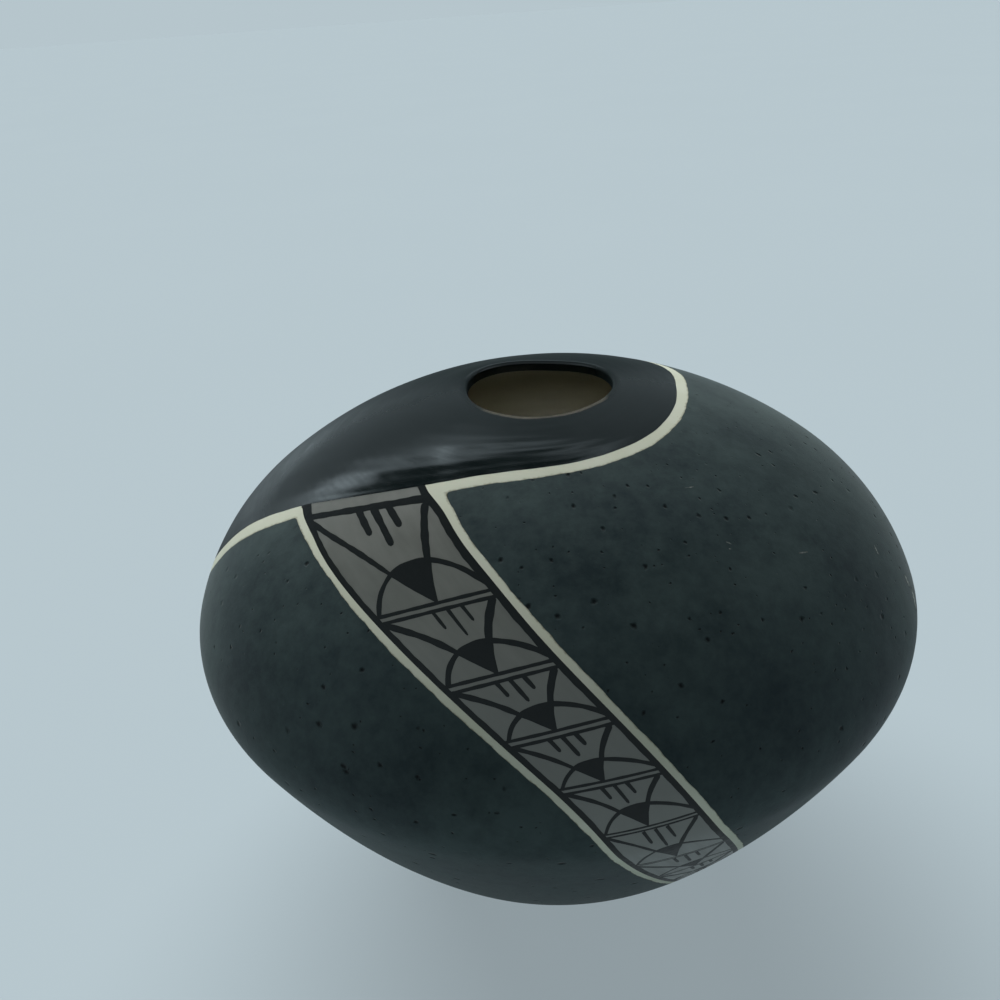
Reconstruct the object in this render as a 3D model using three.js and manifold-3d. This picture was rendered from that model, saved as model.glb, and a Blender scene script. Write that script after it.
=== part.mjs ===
// A blackware vase: a wide, low jar of hand-built earthenware with a small round mouth in its domed top.
// The clay is laid up as a base pad, four courses of wall and a rim coil, luted together at five seams.
// Over the clay lie the slips: a polished cap, a matte field, a grey band that falls from the cap to the base,
// and one pale line that parts them.
// Millimetres and degrees. +Z is up, the origin is the middle of the flat base, and the band faces -Y.
import * as THREE from "three";
import Module from "manifold-3d";

const wasm = await Module();
wasm.setup();
const { degToRad, radToDeg, lerp } = THREE.MathUtils;

// Outline of the finished vase
const BELLY_RADIUS = 100; // at the widest point
const BELLY_HEIGHT = 85; // of the widest point above the table
const RIM_HEIGHT = 144.3; // of the mouth's edge above the table
const MOUTH_RADIUS = 20; // clear opening
const BASE_RADIUS = 44; // flat underside
const BELLY_ARC = 23; // radius of the tight turn round the belly
const BELLY_TURN_UP = 20.5; // how far that turn runs above the widest point
const BELLY_TURN_DOWN = 25; // and below it
const SHOULDER_ARC = 59; // radius of the shoulder above the belly
const SHOULDER_TURN = 32; // how far the shoulder runs before the flatter dome

// Clay
const WALL = 4;
const BASE_THICKNESS = 6;
const BASE_EDGE = 1.5; // rounding under the base
const RIM_WIDTH = 5; // of the coil round the mouth
const LIP_ROUND = 1.5; // upper and lower edge of the mouth
const BELLY_BEVEL = 2; // the belly seam slopes down towards the inside
const FLANK_SHARE = 0.53; // height of the flank course, as a share of the belly's height
const SEAM_GAP = 0.3; // left for the luting slip

// Slips
const COAT = 0.7; // thickness of a coat
const BEDDING = 0.3; // between a coat and the clay
const COAT_GAP = 0.3; // between neighbouring coats
const LINE_STEP = 6.5; // spacing of points along the pale line
const LINE_WIDTH = 3; // usual width of the pale line

// The pale line in three strokes: azimuth, the way down the wall from the mouth in percent of its length,
// and width as a share of the usual width. Azimuth 0 is +X and -90 faces the front.
const RIGHT_OF_BAND = [
  [-124.5, 14.8, 0.87],
  [-112.6, 19.4, 0.63],
  [-104.2, 23.8, 0.63],
  [-95, 30.1, 0.67],
  [-85.5, 38.4, 0.60],
  [-77.6, 47.3, 0.57],
  [-70, 58.2, 0.57],
  [-60.6, 71.7, 0.57],
  [-48.6, 86, 0.57],
  [-33, 101.3, 0.57],
];
const ROUND_CAP = [
  [-124.5, 14.8, 0.87],
  [-115.3, 12.8, 1],
  [-91.4, 10.6, 1.03],
  [-62, 9.6, 1.03],
  [-28, 8.4, 0.97],
  [2, 8.9, 1.07],
  [27, 11.9, 1.13],
  [70, 19.6, 1.13],
  [115, 30.1, 1.20],
  [150, 40.6, 1.33],
  [172, 45.4, 1.47],
  [184, 43, 1.53],
  [191, 35.4, 1.53],
  [197.8, 29, 1.47],
  [204, 24.9, 1.07],
];
const LEFT_OF_BAND = [
  [204, 24.9, 1.07],
  [217.9, 26.9, 0.60],
  [234.7, 30.7, 0.57],
  [250.8, 36.7, 0.60],
  [262.8, 43.6, 0.53],
  [270, 49.9, 0.53],
  [274.9, 58.2, 0.53],
  [284, 71.7, 0.53],
  [295.3, 86, 0.53],
  [310, 101.3, 0.53],
];

// Facets
const SIDES = 52; // round the vase
const COAT_STEP = { length: 16, turn: 8 }; // longest step down a coat, and its largest turn
const CLAY_STEP = { length: 22, turn: 12 }; // and down the clay
const CUT_DEPTH = 3; // how far a cutter passes the coats
const FULL_TURN = 360;

const black = { color: 0x24292b, roughness: 0.28, metalness: 0 };
const charcoal = { color: 0x343d3d, roughness: 0.75, metalness: 0 };
const grey = { color: 0x5c5f5c, roughness: 0.42, metalness: 0 };
const cream = { color: 0xd8d5c0, roughness: 0.7, metalness: 0 };
const clay = { color: 0xb5a687, roughness: 0.85, metalness: 0 };

// The arc that leaves a point at right angles to the given normal and ends on another point
function tangentArc(start, normalAngle, end) {
  const normal = new THREE.Vector2(Math.cos(normalAngle), Math.sin(normalAngle));
  const span = end.clone().sub(start);
  const radius = -span.lengthSq() / (2 * span.dot(normal));
  const centre = start.clone().addScaledVector(normal, -radius);
  const endAngle = Math.atan2((end.y - centre.y) / radius, (end.x - centre.x) / radius);
  return { centre, radius, endAngle };
}

// The outline from the mouth to the base as arcs; top and bottom are the angles of the outward normal
function makeOutline() {
  const pointOn = (arc, angle) =>
    new THREE.Vector2(Math.cos(angle), Math.sin(angle)).multiplyScalar(arc.radius).add(arc.centre);
  const middle = new THREE.Vector2(BELLY_RADIUS - BELLY_ARC, BELLY_HEIGHT);
  const upperBelly = { centre: middle, radius: BELLY_ARC, top: degToRad(BELLY_TURN_UP), bottom: 0 };
  const lowerBelly = { centre: middle, radius: BELLY_ARC, top: 0, bottom: -degToRad(BELLY_TURN_DOWN) };
  const bellyTop = pointOn(upperBelly, upperBelly.top);
  const outward = new THREE.Vector2(Math.cos(upperBelly.top), Math.sin(upperBelly.top));
  const shoulder = {
    centre: bellyTop.clone().addScaledVector(outward, -SHOULDER_ARC),
    radius: SHOULDER_ARC,
    top: degToRad(BELLY_TURN_UP + SHOULDER_TURN),
    bottom: upperBelly.top,
  };
  const mouth = new THREE.Vector2(MOUTH_RADIUS, RIM_HEIGHT);
  const domeArc = tangentArc(pointOn(shoulder, shoulder.top), shoulder.top, mouth);
  const dome = { ...domeArc, top: domeArc.endAngle, bottom: shoulder.top };
  const foot = new THREE.Vector2(BASE_RADIUS, 0);
  const flankArc = tangentArc(pointOn(lowerBelly, lowerBelly.bottom), lowerBelly.bottom, foot);
  const flank = { ...flankArc, top: lowerBelly.bottom, bottom: flankArc.endAngle };
  return [dome, shoulder, upperBelly, lowerBelly, flank];
}
const outline = makeOutline();
const arcLength = (arc) => arc.radius * (arc.top - arc.bottom);
const WALL_LENGTH = outline.reduce((sum, arc) => sum + arcLength(arc), 0);
const DOWN_TO_SHOULDER = arcLength(outline[0]);
const DOWN_TO_BELLY = outline.slice(0, 3).reduce((sum, arc) => sum + arcLength(arc), 0);

// Radius (x) and height (y) of the wall, a distance down from the mouth and a depth in from the finished surface
function onWall(down, depth) {
  let left = down;
  let arc = outline[0];
  for (const next of outline) {
    arc = next;
    if (left <= arcLength(arc)) break;
    left -= arcLength(arc);
  }
  if (down > WALL_LENGTH) left = arcLength(arc) + down - WALL_LENGTH;
  const angle = arc.top - left / arc.radius;
  const reach = arc.radius - depth;
  return new THREE.Vector2(
    arc.centre.x + reach * Math.cos(angle),
    arc.centre.y + reach * Math.sin(angle),
  );
}

// Rows of points down the wall, closer where it turns
function makeRows(step) {
  const rows = [];
  let start = 0;
  for (const arc of outline) {
    const turn = radToDeg(arc.top - arc.bottom);
    const steps = Math.ceil(Math.max(arcLength(arc) / step.length, turn / step.turn));
    for (let i = 0; i < steps; i++) rows.push(start + (arcLength(arc) * i) / steps);
    start += arcLength(arc);
  }
  return rows;
}
const coatRows = makeRows(COAT_STEP);
const clayRows = makeRows(CLAY_STEP);
const rowsBetween = (rows, from, to) => [from, ...rows.filter((row) => row > from + 1 && row < to - 1), to];

// The distance down the wall at which a measure, which falls on the way from low to high, reaches its target
function downWhere(measure, target, low, high) {
  for (let i = 0; i < 60; i++) {
    const middle = (low + high) / 2;
    if (measure(middle) > target) low = middle;
    else high = middle;
  }
  return (low + high) / 2;
}
const downAtHeight = (height, depth) => downWhere((down) => onWall(down, depth).y, height, 0, WALL_LENGTH);
const downAtRadius = (radius, depth) => downWhere((down) => -onWall(down, depth).x, -radius, 0, DOWN_TO_BELLY);

// Depths of the clay below the finished surface, and the places of two of the seams
const CLAY_OUT = COAT + BEDDING;
const CLAY_IN = CLAY_OUT + WALL;
const RIM_SEAM = MOUTH_RADIUS + RIM_WIDTH;
const FLANK_SEAM = BELLY_HEIGHT * FLANK_SHARE;
const stretch = (depth, from, to) => rowsBetween(clayRows, from, to).map((down) => onWall(down, depth));

// A turned piece from a profile of radius and height, stood upright
function turned(profile) {
  const geometry = new THREE.LatheGeometry(profile, SIDES);
  return geometry.rotateX(Math.PI / 2);
}

// A closed ring of wall: its outer face going down, then its inner face coming up
function wallRing(outFrom, outTo, inTo, inFrom) {
  const outer = stretch(CLAY_OUT, outFrom, outTo);
  const inner = stretch(CLAY_IN, inFrom, inTo).reverse();
  const profile = [...outer, ...inner, outer[0]];
  return turned(profile.reverse());
}

// The dome course, from the rim coil to the shoulder, with a lower seam square to the wall
function makeDomeWall() {
  const rimSide = RIM_SEAM + SEAM_GAP;
  const outFrom = downAtRadius(rimSide, CLAY_OUT);
  const inFrom = downAtRadius(rimSide, CLAY_IN);
  const to = DOWN_TO_SHOULDER - SEAM_GAP / 2;
  return wallRing(outFrom, to, to, inFrom);
}

// The shoulder course, down to the sloping belly seam
function makeShoulderWall() {
  const from = DOWN_TO_SHOULDER + SEAM_GAP / 2;
  const outTo = downAtHeight(BELLY_HEIGHT + SEAM_GAP / 2, CLAY_OUT);
  const inTo = downAtHeight(BELLY_HEIGHT - BELLY_BEVEL + SEAM_GAP / 2, CLAY_IN);
  return wallRing(from, outTo, inTo, from);
}

// The belly course, down to a level seam
function makeBellyWall() {
  const low = FLANK_SEAM + SEAM_GAP / 2;
  const outFrom = downAtHeight(BELLY_HEIGHT - SEAM_GAP / 2, CLAY_OUT);
  const inFrom = downAtHeight(BELLY_HEIGHT - BELLY_BEVEL - SEAM_GAP / 2, CLAY_IN);
  return wallRing(outFrom, downAtHeight(low, CLAY_OUT), downAtHeight(low, CLAY_IN), inFrom);
}

// The flank course, between two level seams, on the base pad
function makeFlankWall() {
  const high = FLANK_SEAM - SEAM_GAP / 2;
  const low = BASE_THICKNESS + SEAM_GAP;
  const atHeights = [[high, CLAY_OUT], [low, CLAY_OUT], [low, CLAY_IN], [high, CLAY_IN]];
  return wallRing(...atHeights.map(([height, depth]) => downAtHeight(height, depth)));
}

// The base pad: a flat disc whose side carries on the line of the flank
function makeBasePad() {
  const side = downAtHeight(BASE_THICKNESS, 0);
  const top = onWall(side, 0);
  const low = onWall(downAtHeight(BASE_EDGE, 0), 0);
  const path = new THREE.Path();
  path.moveTo(0, 0);
  path.lineTo(BASE_RADIUS - BASE_EDGE, 0);
  path.quadraticCurveTo(BASE_RADIUS, 0, low.x, low.y);
  path.lineTo(top.x, top.y);
  path.lineTo(0, BASE_THICKNESS);
  return turned(path.getPoints(4));
}

// The rim coil: its top carries on the dome, and both edges of the mouth are rounded
function makeMouthRim() {
  const outer = downAtRadius(RIM_SEAM, 0);
  const topEdge = onWall(downAtRadius(MOUTH_RADIUS + LIP_ROUND, 0), 0);
  const lowEdge = onWall(downAtRadius(MOUTH_RADIUS + LIP_ROUND, CLAY_IN), CLAY_IN);
  const topSeam = onWall(outer, 0);
  const lowSeam = onWall(downAtRadius(RIM_SEAM, CLAY_IN), CLAY_IN);
  const path = new THREE.Path();
  path.moveTo(topSeam.x, topSeam.y);
  path.lineTo(topEdge.x, topEdge.y);
  path.quadraticCurveTo(MOUTH_RADIUS, topEdge.y, MOUTH_RADIUS, topEdge.y - LIP_ROUND);
  path.lineTo(MOUTH_RADIUS, lowEdge.y + LIP_ROUND);
  path.quadraticCurveTo(MOUTH_RADIUS, lowEdge.y, lowEdge.x, lowEdge.y);
  path.lineTo(lowSeam.x, lowSeam.y);
  path.lineTo(topSeam.x, topSeam.y);
  return turned(path.getPoints(4));
}

// A point in space from an azimuth, a distance down the wall and a depth
function inSpace([azimuth, down], depth) {
  const wall = onWall(down, depth);
  const angle = degToRad(azimuth);
  return [wall.x * Math.cos(angle), wall.x * Math.sin(angle), wall.y];
}

// A closed solid over a grid of columns of [azimuth, down] points, between two depths.
// Columns run with rising azimuth and points run down each column; a full ring joins its last column to its first.
function slab(grid, outerDepth, innerDepth, ring) {
  const across = grid.length;
  const deep = grid[0].length;
  const layer = (depth) => grid.flatMap((column) => column.flatMap((point) => inSpace(point, depth)));
  const positions = new Float32Array([...layer(outerDepth), ...layer(innerDepth)]);
  const triangles = [];
  const at = (i, j, inner) => (inner ? across * deep : 0) + (i % across) * deep + j;
  const quad = (a, b, c, d) => triangles.push(a, b, c, a, c, d);
  const columns = ring ? across : across - 1;
  for (let i = 0; i < columns; i++) {
    for (let j = 0; j < deep - 1; j++) {
      quad(at(i, j), at(i, j + 1), at(i + 1, j + 1), at(i + 1, j));
      quad(at(i, j, true), at(i + 1, j, true), at(i + 1, j + 1, true), at(i, j + 1, true));
    }
    const last = deep - 1;
    quad(at(i, 0), at(i + 1, 0), at(i + 1, 0, true), at(i, 0, true));
    quad(at(i, last), at(i, last, true), at(i + 1, last, true), at(i + 1, last));
  }
  if (!ring) {
    const end = across - 1;
    for (let j = 0; j < deep - 1; j++) {
      quad(at(0, j), at(0, j, true), at(0, j + 1, true), at(0, j + 1));
      quad(at(end, j), at(end, j + 1), at(end, j + 1, true), at(end, j, true));
    }
  }
  const mesh = new wasm.Mesh({
    numProp: 3,
    vertProperties: positions,
    triVerts: new Uint32Array(triangles),
  });
  return new wasm.Manifold(mesh);
}

// A stroke's points as azimuth, distance down the wall and width
function onBody(stroke) {
  return stroke.map(
    ([azimuth, percent, share]) =>
      new THREE.Vector3(azimuth, (percent / 100) * WALL_LENGTH, share * LINE_WIDTH),
  );
}

// The same points joined by a smooth curve, as [azimuth, down, width]
function smooth(stroke) {
  const curve = new THREE.CatmullRomCurve3(onBody(stroke));
  const steps = Math.round(curve.getLength() / LINE_STEP);
  return curve.getSpacedPoints(steps).map((point) => point.toArray());
}
const rightStroke = smooth(RIGHT_OF_BAND);
const capStroke = smooth(ROUND_CAP);
const leftStroke = smooth(LEFT_OF_BAND);

// The whole pale line, up the right of the band, round the cap and down the left, with sharp mitred corners.
// Each column holds the edge on the cap's side and the edge on the field's side, widened by the given margin.
function lineColumns(margin) {
  const path = [...rightStroke.toReversed(), ...capStroke.slice(1), ...leftStroke.slice(1)];
  const normalOf = (from, to) => {
    const radius = onWall((from[1] + to[1]) / 2, 0).x;
    const along = new THREE.Vector2(radius * degToRad(to[0] - from[0]), to[1] - from[1]).normalize();
    return new THREE.Vector2(-along.y, along.x);
  };
  return path.map((point, i) => {
    const before = normalOf(path[Math.max(i - 1, 0)], path[Math.max(i, 1)]);
    const after = normalOf(path[Math.min(i, path.length - 2)], path[Math.min(i + 1, path.length - 1)]);
    const mitre = before.clone().add(after).divideScalar(1 + before.dot(after));
    const radius = onWall(point[1], 0).x;
    return [-1, 1].map((side) => {
      const shift = side * (point[2] / 2 + margin);
      return [point[0] + radToDeg((mitre.x * shift) / radius), point[1] + mitre.y * shift];
    });
  });
}

// Points between two ends, both included
function between(start, end, steps) {
  const points = [];
  for (let i = 0; i <= steps; i++) {
    points.push([lerp(start[0], end[0], i / steps), lerp(start[1], end[1], i / steps)]);
  }
  return points;
}

// The cap's ground: from the mouth down to the middle of the pale line, and to the band's top between its corners
function capColumns() {
  const rowCount = 24;
  const leftCorner = capStroke.at(-1);
  const rightCorner = [capStroke[0][0] + FULL_TURN, capStroke[0][1]];
  const bandTop = between(leftCorner, rightCorner, 8).slice(1, -1);
  return [...capStroke, ...bandTop].map(([azimuth, edge]) => between([azimuth, 0], [azimuth, edge], rowCount));
}

// The band's ground: between the middles of the two strokes beside it, lowered by the given drop
function bandColumns(drop) {
  const columnCount = 8;
  const rowCount = 60;
  const down = (stroke, turn) => {
    const curve = new THREE.CatmullRomCurve3(
      onBody(stroke).map((point) => new THREE.Vector3(point.x + turn, point.y + drop, 0)),
    );
    return curve.getSpacedPoints(rowCount);
  };
  const left = down(LEFT_OF_BAND, 0);
  const right = down(RIGHT_OF_BAND, FULL_TURN);
  const columns = [];
  for (let i = 0; i <= columnCount; i++) {
    const share = i / columnCount;
    columns.push(left.map((point, j) => [lerp(point.x, right[j].x, share), lerp(point.y, right[j].y, share)]));
  }
  return columns;
}

// One coat over the whole clay body, cut apart along the pale line
function makeCoats() {
  const top = downAtRadius(RIM_SEAM + SEAM_GAP, COAT / 2);
  const bottom = downAtHeight(BASE_THICKNESS + SEAM_GAP + COAT, 0);
  const grid = [];
  for (let i = 0; i < SIDES; i++) {
    grid.push(rowsBetween(coatRows, top, bottom).map((down) => [(FULL_TURN * i) / SIDES, down]));
  }
  const coat = slab(grid, 0, COAT, true);
  const line = slab(lineColumns(0), -CUT_DEPTH, CUT_DEPTH, false);
  const wideLine = slab(lineColumns(COAT_GAP), -CUT_DEPTH, CUT_DEPTH, false);
  const capGround = slab(capColumns(), -CUT_DEPTH, CUT_DEPTH, true);
  const belowCap = slab(bandColumns(COAT_GAP), -CUT_DEPTH, CUT_DEPTH, false);
  const bandGround = slab(bandColumns(-COAT_GAP), -CUT_DEPTH, CUT_DEPTH, false);
  const beside = coat.subtract(wideLine);
  return {
    cream_line: coat.intersect(line),
    polished_cap: beside.intersect(capGround),
    grey_band: beside.intersect(belowCap),
    charcoal_field: beside.subtract(capGround).subtract(bandGround),
  };
}

function toGeometry(solid) {
  const mesh = solid.getMesh();
  const geometry = new THREE.BufferGeometry();
  geometry.setAttribute("position", new THREE.BufferAttribute(mesh.vertProperties, 3));
  geometry.setIndex(new THREE.BufferAttribute(mesh.triVerts, 1));
  const faceted = geometry.toNonIndexed();
  faceted.computeVertexNormals();
  return faceted;
}

const vase = new THREE.Group();
vase.name = "blackware_vase";
function add(name, geometry, finish) {
  const mesh = new THREE.Mesh(geometry, new THREE.MeshStandardMaterial(finish));
  mesh.name = name;
  vase.add(mesh);
}

add("base_pad", makeBasePad(), charcoal);
add("flank_wall", makeFlankWall(), clay);
add("belly_wall", makeBellyWall(), clay);
add("shoulder_wall", makeShoulderWall(), clay);
add("dome_wall", makeDomeWall(), clay);
add("mouth_rim", makeMouthRim(), black);
const coats = makeCoats();
const finishes = { cream_line: cream, polished_cap: black, grey_band: grey, charcoal_field: charcoal };
for (const [name, finish] of Object.entries(finishes)) add(name, toGeometry(coats[name]), finish);

export default vase;
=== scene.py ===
"""A wide, low blackware vase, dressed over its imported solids.

The clay is turned from one outline of five arcs. The slips lie on it as thin closed shells that meet along
one pale line: a polished cap, a matte charcoal field and a grey band with black brushwork.
Lengths are in millimetres and angles in degrees until a point goes into a mesh, which is in metres.
"""
import math

import bpy
import numpy as np
from mathutils import Matrix


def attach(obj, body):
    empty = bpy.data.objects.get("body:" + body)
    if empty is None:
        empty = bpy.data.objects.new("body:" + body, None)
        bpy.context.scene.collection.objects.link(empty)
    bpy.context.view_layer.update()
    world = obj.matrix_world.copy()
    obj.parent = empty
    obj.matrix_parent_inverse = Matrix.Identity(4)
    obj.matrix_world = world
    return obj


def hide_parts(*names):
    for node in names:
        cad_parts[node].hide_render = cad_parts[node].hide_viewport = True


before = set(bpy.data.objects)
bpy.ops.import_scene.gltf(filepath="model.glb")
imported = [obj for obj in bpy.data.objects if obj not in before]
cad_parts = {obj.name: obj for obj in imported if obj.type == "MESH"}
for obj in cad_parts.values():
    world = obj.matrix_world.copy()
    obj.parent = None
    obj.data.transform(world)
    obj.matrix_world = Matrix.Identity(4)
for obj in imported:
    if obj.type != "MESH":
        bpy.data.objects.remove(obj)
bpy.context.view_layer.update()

MM = 0.001

# Outline of the finished vase, the same as the solids have
BELLY_RADIUS = 100
BELLY_HEIGHT = 85
RIM_HEIGHT = 144.3
MOUTH_RADIUS = 20
BASE_RADIUS = 44
BELLY_ARC = 23
BELLY_TURN_UP = 20.5
BELLY_TURN_DOWN = 25
SHOULDER_ARC = 59
SHOULDER_TURN = 32

# Clay
BASE_THICKNESS = 6
BASE_EDGE = 1.5
BASE_HOLLOW = 0.5  # how far the middle of the underside is off the table
RIM_WIDTH = 5
LIP_ROUND = 0.8
LIP_SAG = 0.15  # how far the lip is pressed down
WORN_REACH = 1.4  # how far the bare clay of the worn lip shows on the dome
FLANK_SHARE = 0.53  # of the belly's height, up to where the lowest course goes
CLAY_OUT = 0.75  # depth of the clay's outer face below the outline
CLAY_IN = 5  # and of its inner face
SCRAPE_PITCH = 7  # between the scraped rings inside
SCRAPE_DEPTH = 0.25
SCRAPE_SWAY = (0.8, 5)  # how unevenly the rings are spaced: size, and way down for one radian
RIM_BARE = 0.2  # how far the clay below the slip stands back inside the mouth
RIM_UNDER = 1  # how far the rim coil's inner face runs along the dome
HOLLOW_REACH = (0.85, 0.2)  # shares of the flat underside: where the hollow starts and where it is whole
SLIP_UNDER = 0.5  # how far the charcoal slip runs under the base
SLIP_OVER = 0.8  # how far it covers the top of the base pad's side
COAT_LAP = 0.6  # how far the coats run into the base pad

# Slips: depth of each finished face below the outline, and of the back that they share
COAT_BACK = 0.7
FIELD_FACE = 0.02
CAP_FACE = 0.02
LINE_FACE = 0.05
BAND_FACE = 0.07
PAINT_FACE = 0.05
PAINT_BACK = 0.3
SLIP_IN_MOUTH = 2.8  # how far the black slip runs down inside the lip

# A hand's unevenness: how far the mouth is out of round, and how far polishing left the wall uneven.
# The mouth's waves: how many in a turn, size, and azimuth of a crest
MOUTH_WAVES = [(1, 1.25, 127), (2, 0.55, -70), (3, 0.85, 16), (4, 0.3, 35), (5, 0.2, -21)]
MOUTH_REACH = 16  # how far from the mouth they die away
HAND_SWELL = 0.12
HAND_FADE = (3, 16)  # down the wall: from where to where the unevenness comes in
HAND_WAVES = [(3, 19, 0.4), (5, -11, 2.1), (8, 8, 4.0)]  # in a turn, way down for one radian, phase
FACET_SWELL = 0.04
FACET_WAVES = [(5, 3, 0.9), (7.3, -2, 2.7), (3.1, 4, 5.1)]  # from the lip to the edge, in a turn, phase
FACET_FADE = (0.15, 0.95)  # shares of the way between which the facets are whole

# The stone's polish, from none to whole. Fronts go by the azimuth's sine, from -1 at the back to 1 in front.
POLISH_FRONT = (-0.82, 0.35)  # it comes in from behind the mouth to the front
POLISH_LIP = (-1, 3)  # down the wall, it comes in below the lip
POLISH_TAIL = (95, 45)  # there is none far down the cap's tail
FAR_LIP_FRONT = (-0.3, -0.8)  # the far lip is polished as well
FAR_LIP_DOWN = (1.5, 1)
WORN_FRONT = (0.1, 0.9)  # the lip is worn bare in front

# Patterns: streaks run round the cap and along the band
FLOW_RADIUS = 45  # of the circle on which the cap's azimuth is laid
FLOW_STRETCH = 14  # how much finer the cap's streaks are down the wall
FLAT_RADIUS = 75  # at which the field's azimuth is a length
BAND_FLOW = 0.15  # how far the band's streak pattern runs across it, in metres

# The pale line in three strokes: azimuth, the way down the wall from the mouth, and width.
# Azimuth 0 is +X and -90 faces the front.
RIGHT_OF_BAND = [
    (-124.5, 30.4, 3.6), (-118.6, 34.6, 2.4), (-112.6, 40.5, 2.1), (-104.2, 49.8, 1.9), (-95, 63.1, 2),
    (-85.5, 80.4, 1.8), (-77.6, 99, 1.7), (-70, 121.8, 1.7), (-60.6, 150, 1.7), (-48.6, 180, 1.7),
    (-33, 212, 1.7),
]
ROUND_CAP = [
    (-124.5, 30.4, 3.6), (-115.3, 26.5, 3.5), (-91.4, 22.2, 3.1), (-62, 20, 3.1), (-28, 17.6, 2.9),
    (2, 18.6, 3.2), (27, 25, 3.4), (70, 41, 3.4), (115, 63, 3.6), (150, 85, 4), (172, 95, 4.4),
    (184, 90, 4.6), (191, 74, 4.6), (197.8, 60.5, 4.5), (204, 52, 3.6),
]
LEFT_OF_BAND = [
    (204, 52, 3.6), (217.9, 56.4, 1.8), (234.7, 64.3, 1.7), (250.8, 76.8, 1.8), (262.8, 91.2, 1.6),
    (270, 104.5, 1.6), (274.9, 121.8, 1.6), (284, 150, 1.6), (295.3, 180, 1.6), (310, 212, 1.6),
]

# The band's panels: azimuth of each divider's left and right end
DIVIDERS = np.array([
    (-150.8, -125.8), (-120.7, -103.1), (-107.3, -93.1), (-99.0, -86.4), (-92.8, -81.2),
    (-88.0, -77.0), (-83.5, -71.7), (-78.6, -67.0), (-73.9, -62.3), (-68.4, -56.7),
    (-62.3, -50.5), (-55.9, -43.9), (-52.2, -40.2),
])
LEFT_BORDER = [1.3, 1.15]  # width at the top and lower down
RIGHT_BORDER = [1.7, 1.2]
BORDER_FINER = [25, 75]  # how far along the pale stroke a border goes from one width to the other
BORDER_LAP = 0.12  # how far a border covers the edge of the pale line
LEFT_BORDER_LAP = 1.6  # the same at the top of the left one
BORDER_LEAD = 4.5  # how far the borders start under the cap
TOP_LINE = 2.2
DIVIDER_LINE = 0.9  # of the first pair; each pair below is finer
DIVIDER_GAP = 0.8
DIVIDER_FINER = 0.12
DIVIDER_FINEST = 5  # from this pair on they stay the same

# Each panel as it was painted: width of its rays and of its short strokes, how far the motif leans to
# the right, how far it drops, and how far the short strokes are to the right
PANELS = [
    (1.65, 1.9, 0.08, 0.05, 0), (1.65, 0.8, 0, -0.015, 0.02), (1.35, 1, 0, -0.025, 0),
    (1.1, 1, -0.08, 0, -0.05), (1, 0.85, -0.03, -0.06, -0.035), (0.9, 0.8, -0.06, -0.1, -0.03),
    (1, 0.85, 0, 0, 0), (1.2, 0.95, 0.03, 0.02, 0.02), (1.2, 0.95, 0, -0.02, -0.03),
    (1.2, 0.9, -0.04, 0, 0), (1.1, 0.9, 0, 0.02, -0.02),
]
RAY_SHARES = [0.85, 1.15]  # the left ray is thinner than the right one
ARCH_SHARE = 0.75  # an arch's width as a share of the rays'

# One panel's motif: (0, 0) is its upper left corner and (1, 1) its lower right
ARCH = [
    (0.01, 0.97), (0.15, 0.8), (0.29, 0.68), (0.37, 0.63), (0.49, 0.595), (0.63, 0.59), (0.72, 0.62),
    (0.81, 0.67), (0.91, 0.75), (1.03, 0.9),
]
APEX = (0.485, 0.975)
LEFT_RAY = [(-0.02, 0.05), (0.2, 0.38), APEX]
RIGHT_RAY = [(0.985, 0.05), (0.745, 0.44), APEX]
HANGING = [(0.405, 0.395, 0.32), (0.535, 0.515, 0.46), (0.665, 0.66, 0.3)]  # across at both ends, end's fall
HANG_FROM = [0.02, 0.05]  # fall where they start, under the broad top line and under the others
LINE_LAP = 0.025  # how far a line across the band runs into both borders
BELOW_LINE = 0.05  # fall over which a line across the band takes its way down
WEDGE_DEPTH = 0.98  # how near the filled wedge comes to the apex

# How the brushes wavered: length and size of each wave
FIELD_WAVES = [(17, 0.07), (7.5, 0.05), (3.9, 0.05), (2.3, 0.03)]  # the field's edge on the pale line
CRISP_WAVES = [(23, 0.05), (9, 0.03)]  # the other edge, which is crisp
BRUSH_WAVES = [(9, 0.07), (3.7, 0.05)]  # as shares of a stroke's width
WAVER_FADE = 5  # how far from its ends a line is steady
CORNER_SOFT = 1.0  # how far the inner tips of the pale line are rubbed

# How the paint lies: strokes that cross are at slightly different depths
FILM_EDGE = 0.01  # how much thinner a stroke is along its edges
PAINT_LAYERS = 7
LAYER_STEP = 0.002
WEDGE_OVER = 0.011  # how far a filled wedge is above the other paint
BORDER_FACE = 0.028  # above the pale line's edge, below the cap's
BORDER_SINK = 0.15  # how far the borders' ends are sunk under the cap
SINK_REACH = (0.2, 0.6)  # how far under the cap's edge they go down
LAP_REACH = 14  # how far down a border's lap gets narrow
LINE_CROWN = 0.3  # how much of the pale line's depth its middle lacks

# How a stroke's width goes along it: the share of the way and the share of the width
EVEN = [(0, 1), (1, 1)]
TOP_TAPER = [(0, 0.85), (1, 1.15)]
RAY_TAPER = [(0, 1), (0.55, 0.95), (0.72, 0.5), (1, 0.1)]
SHORT_TAPER = [(0, 1), (1, 0.75)]

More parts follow.
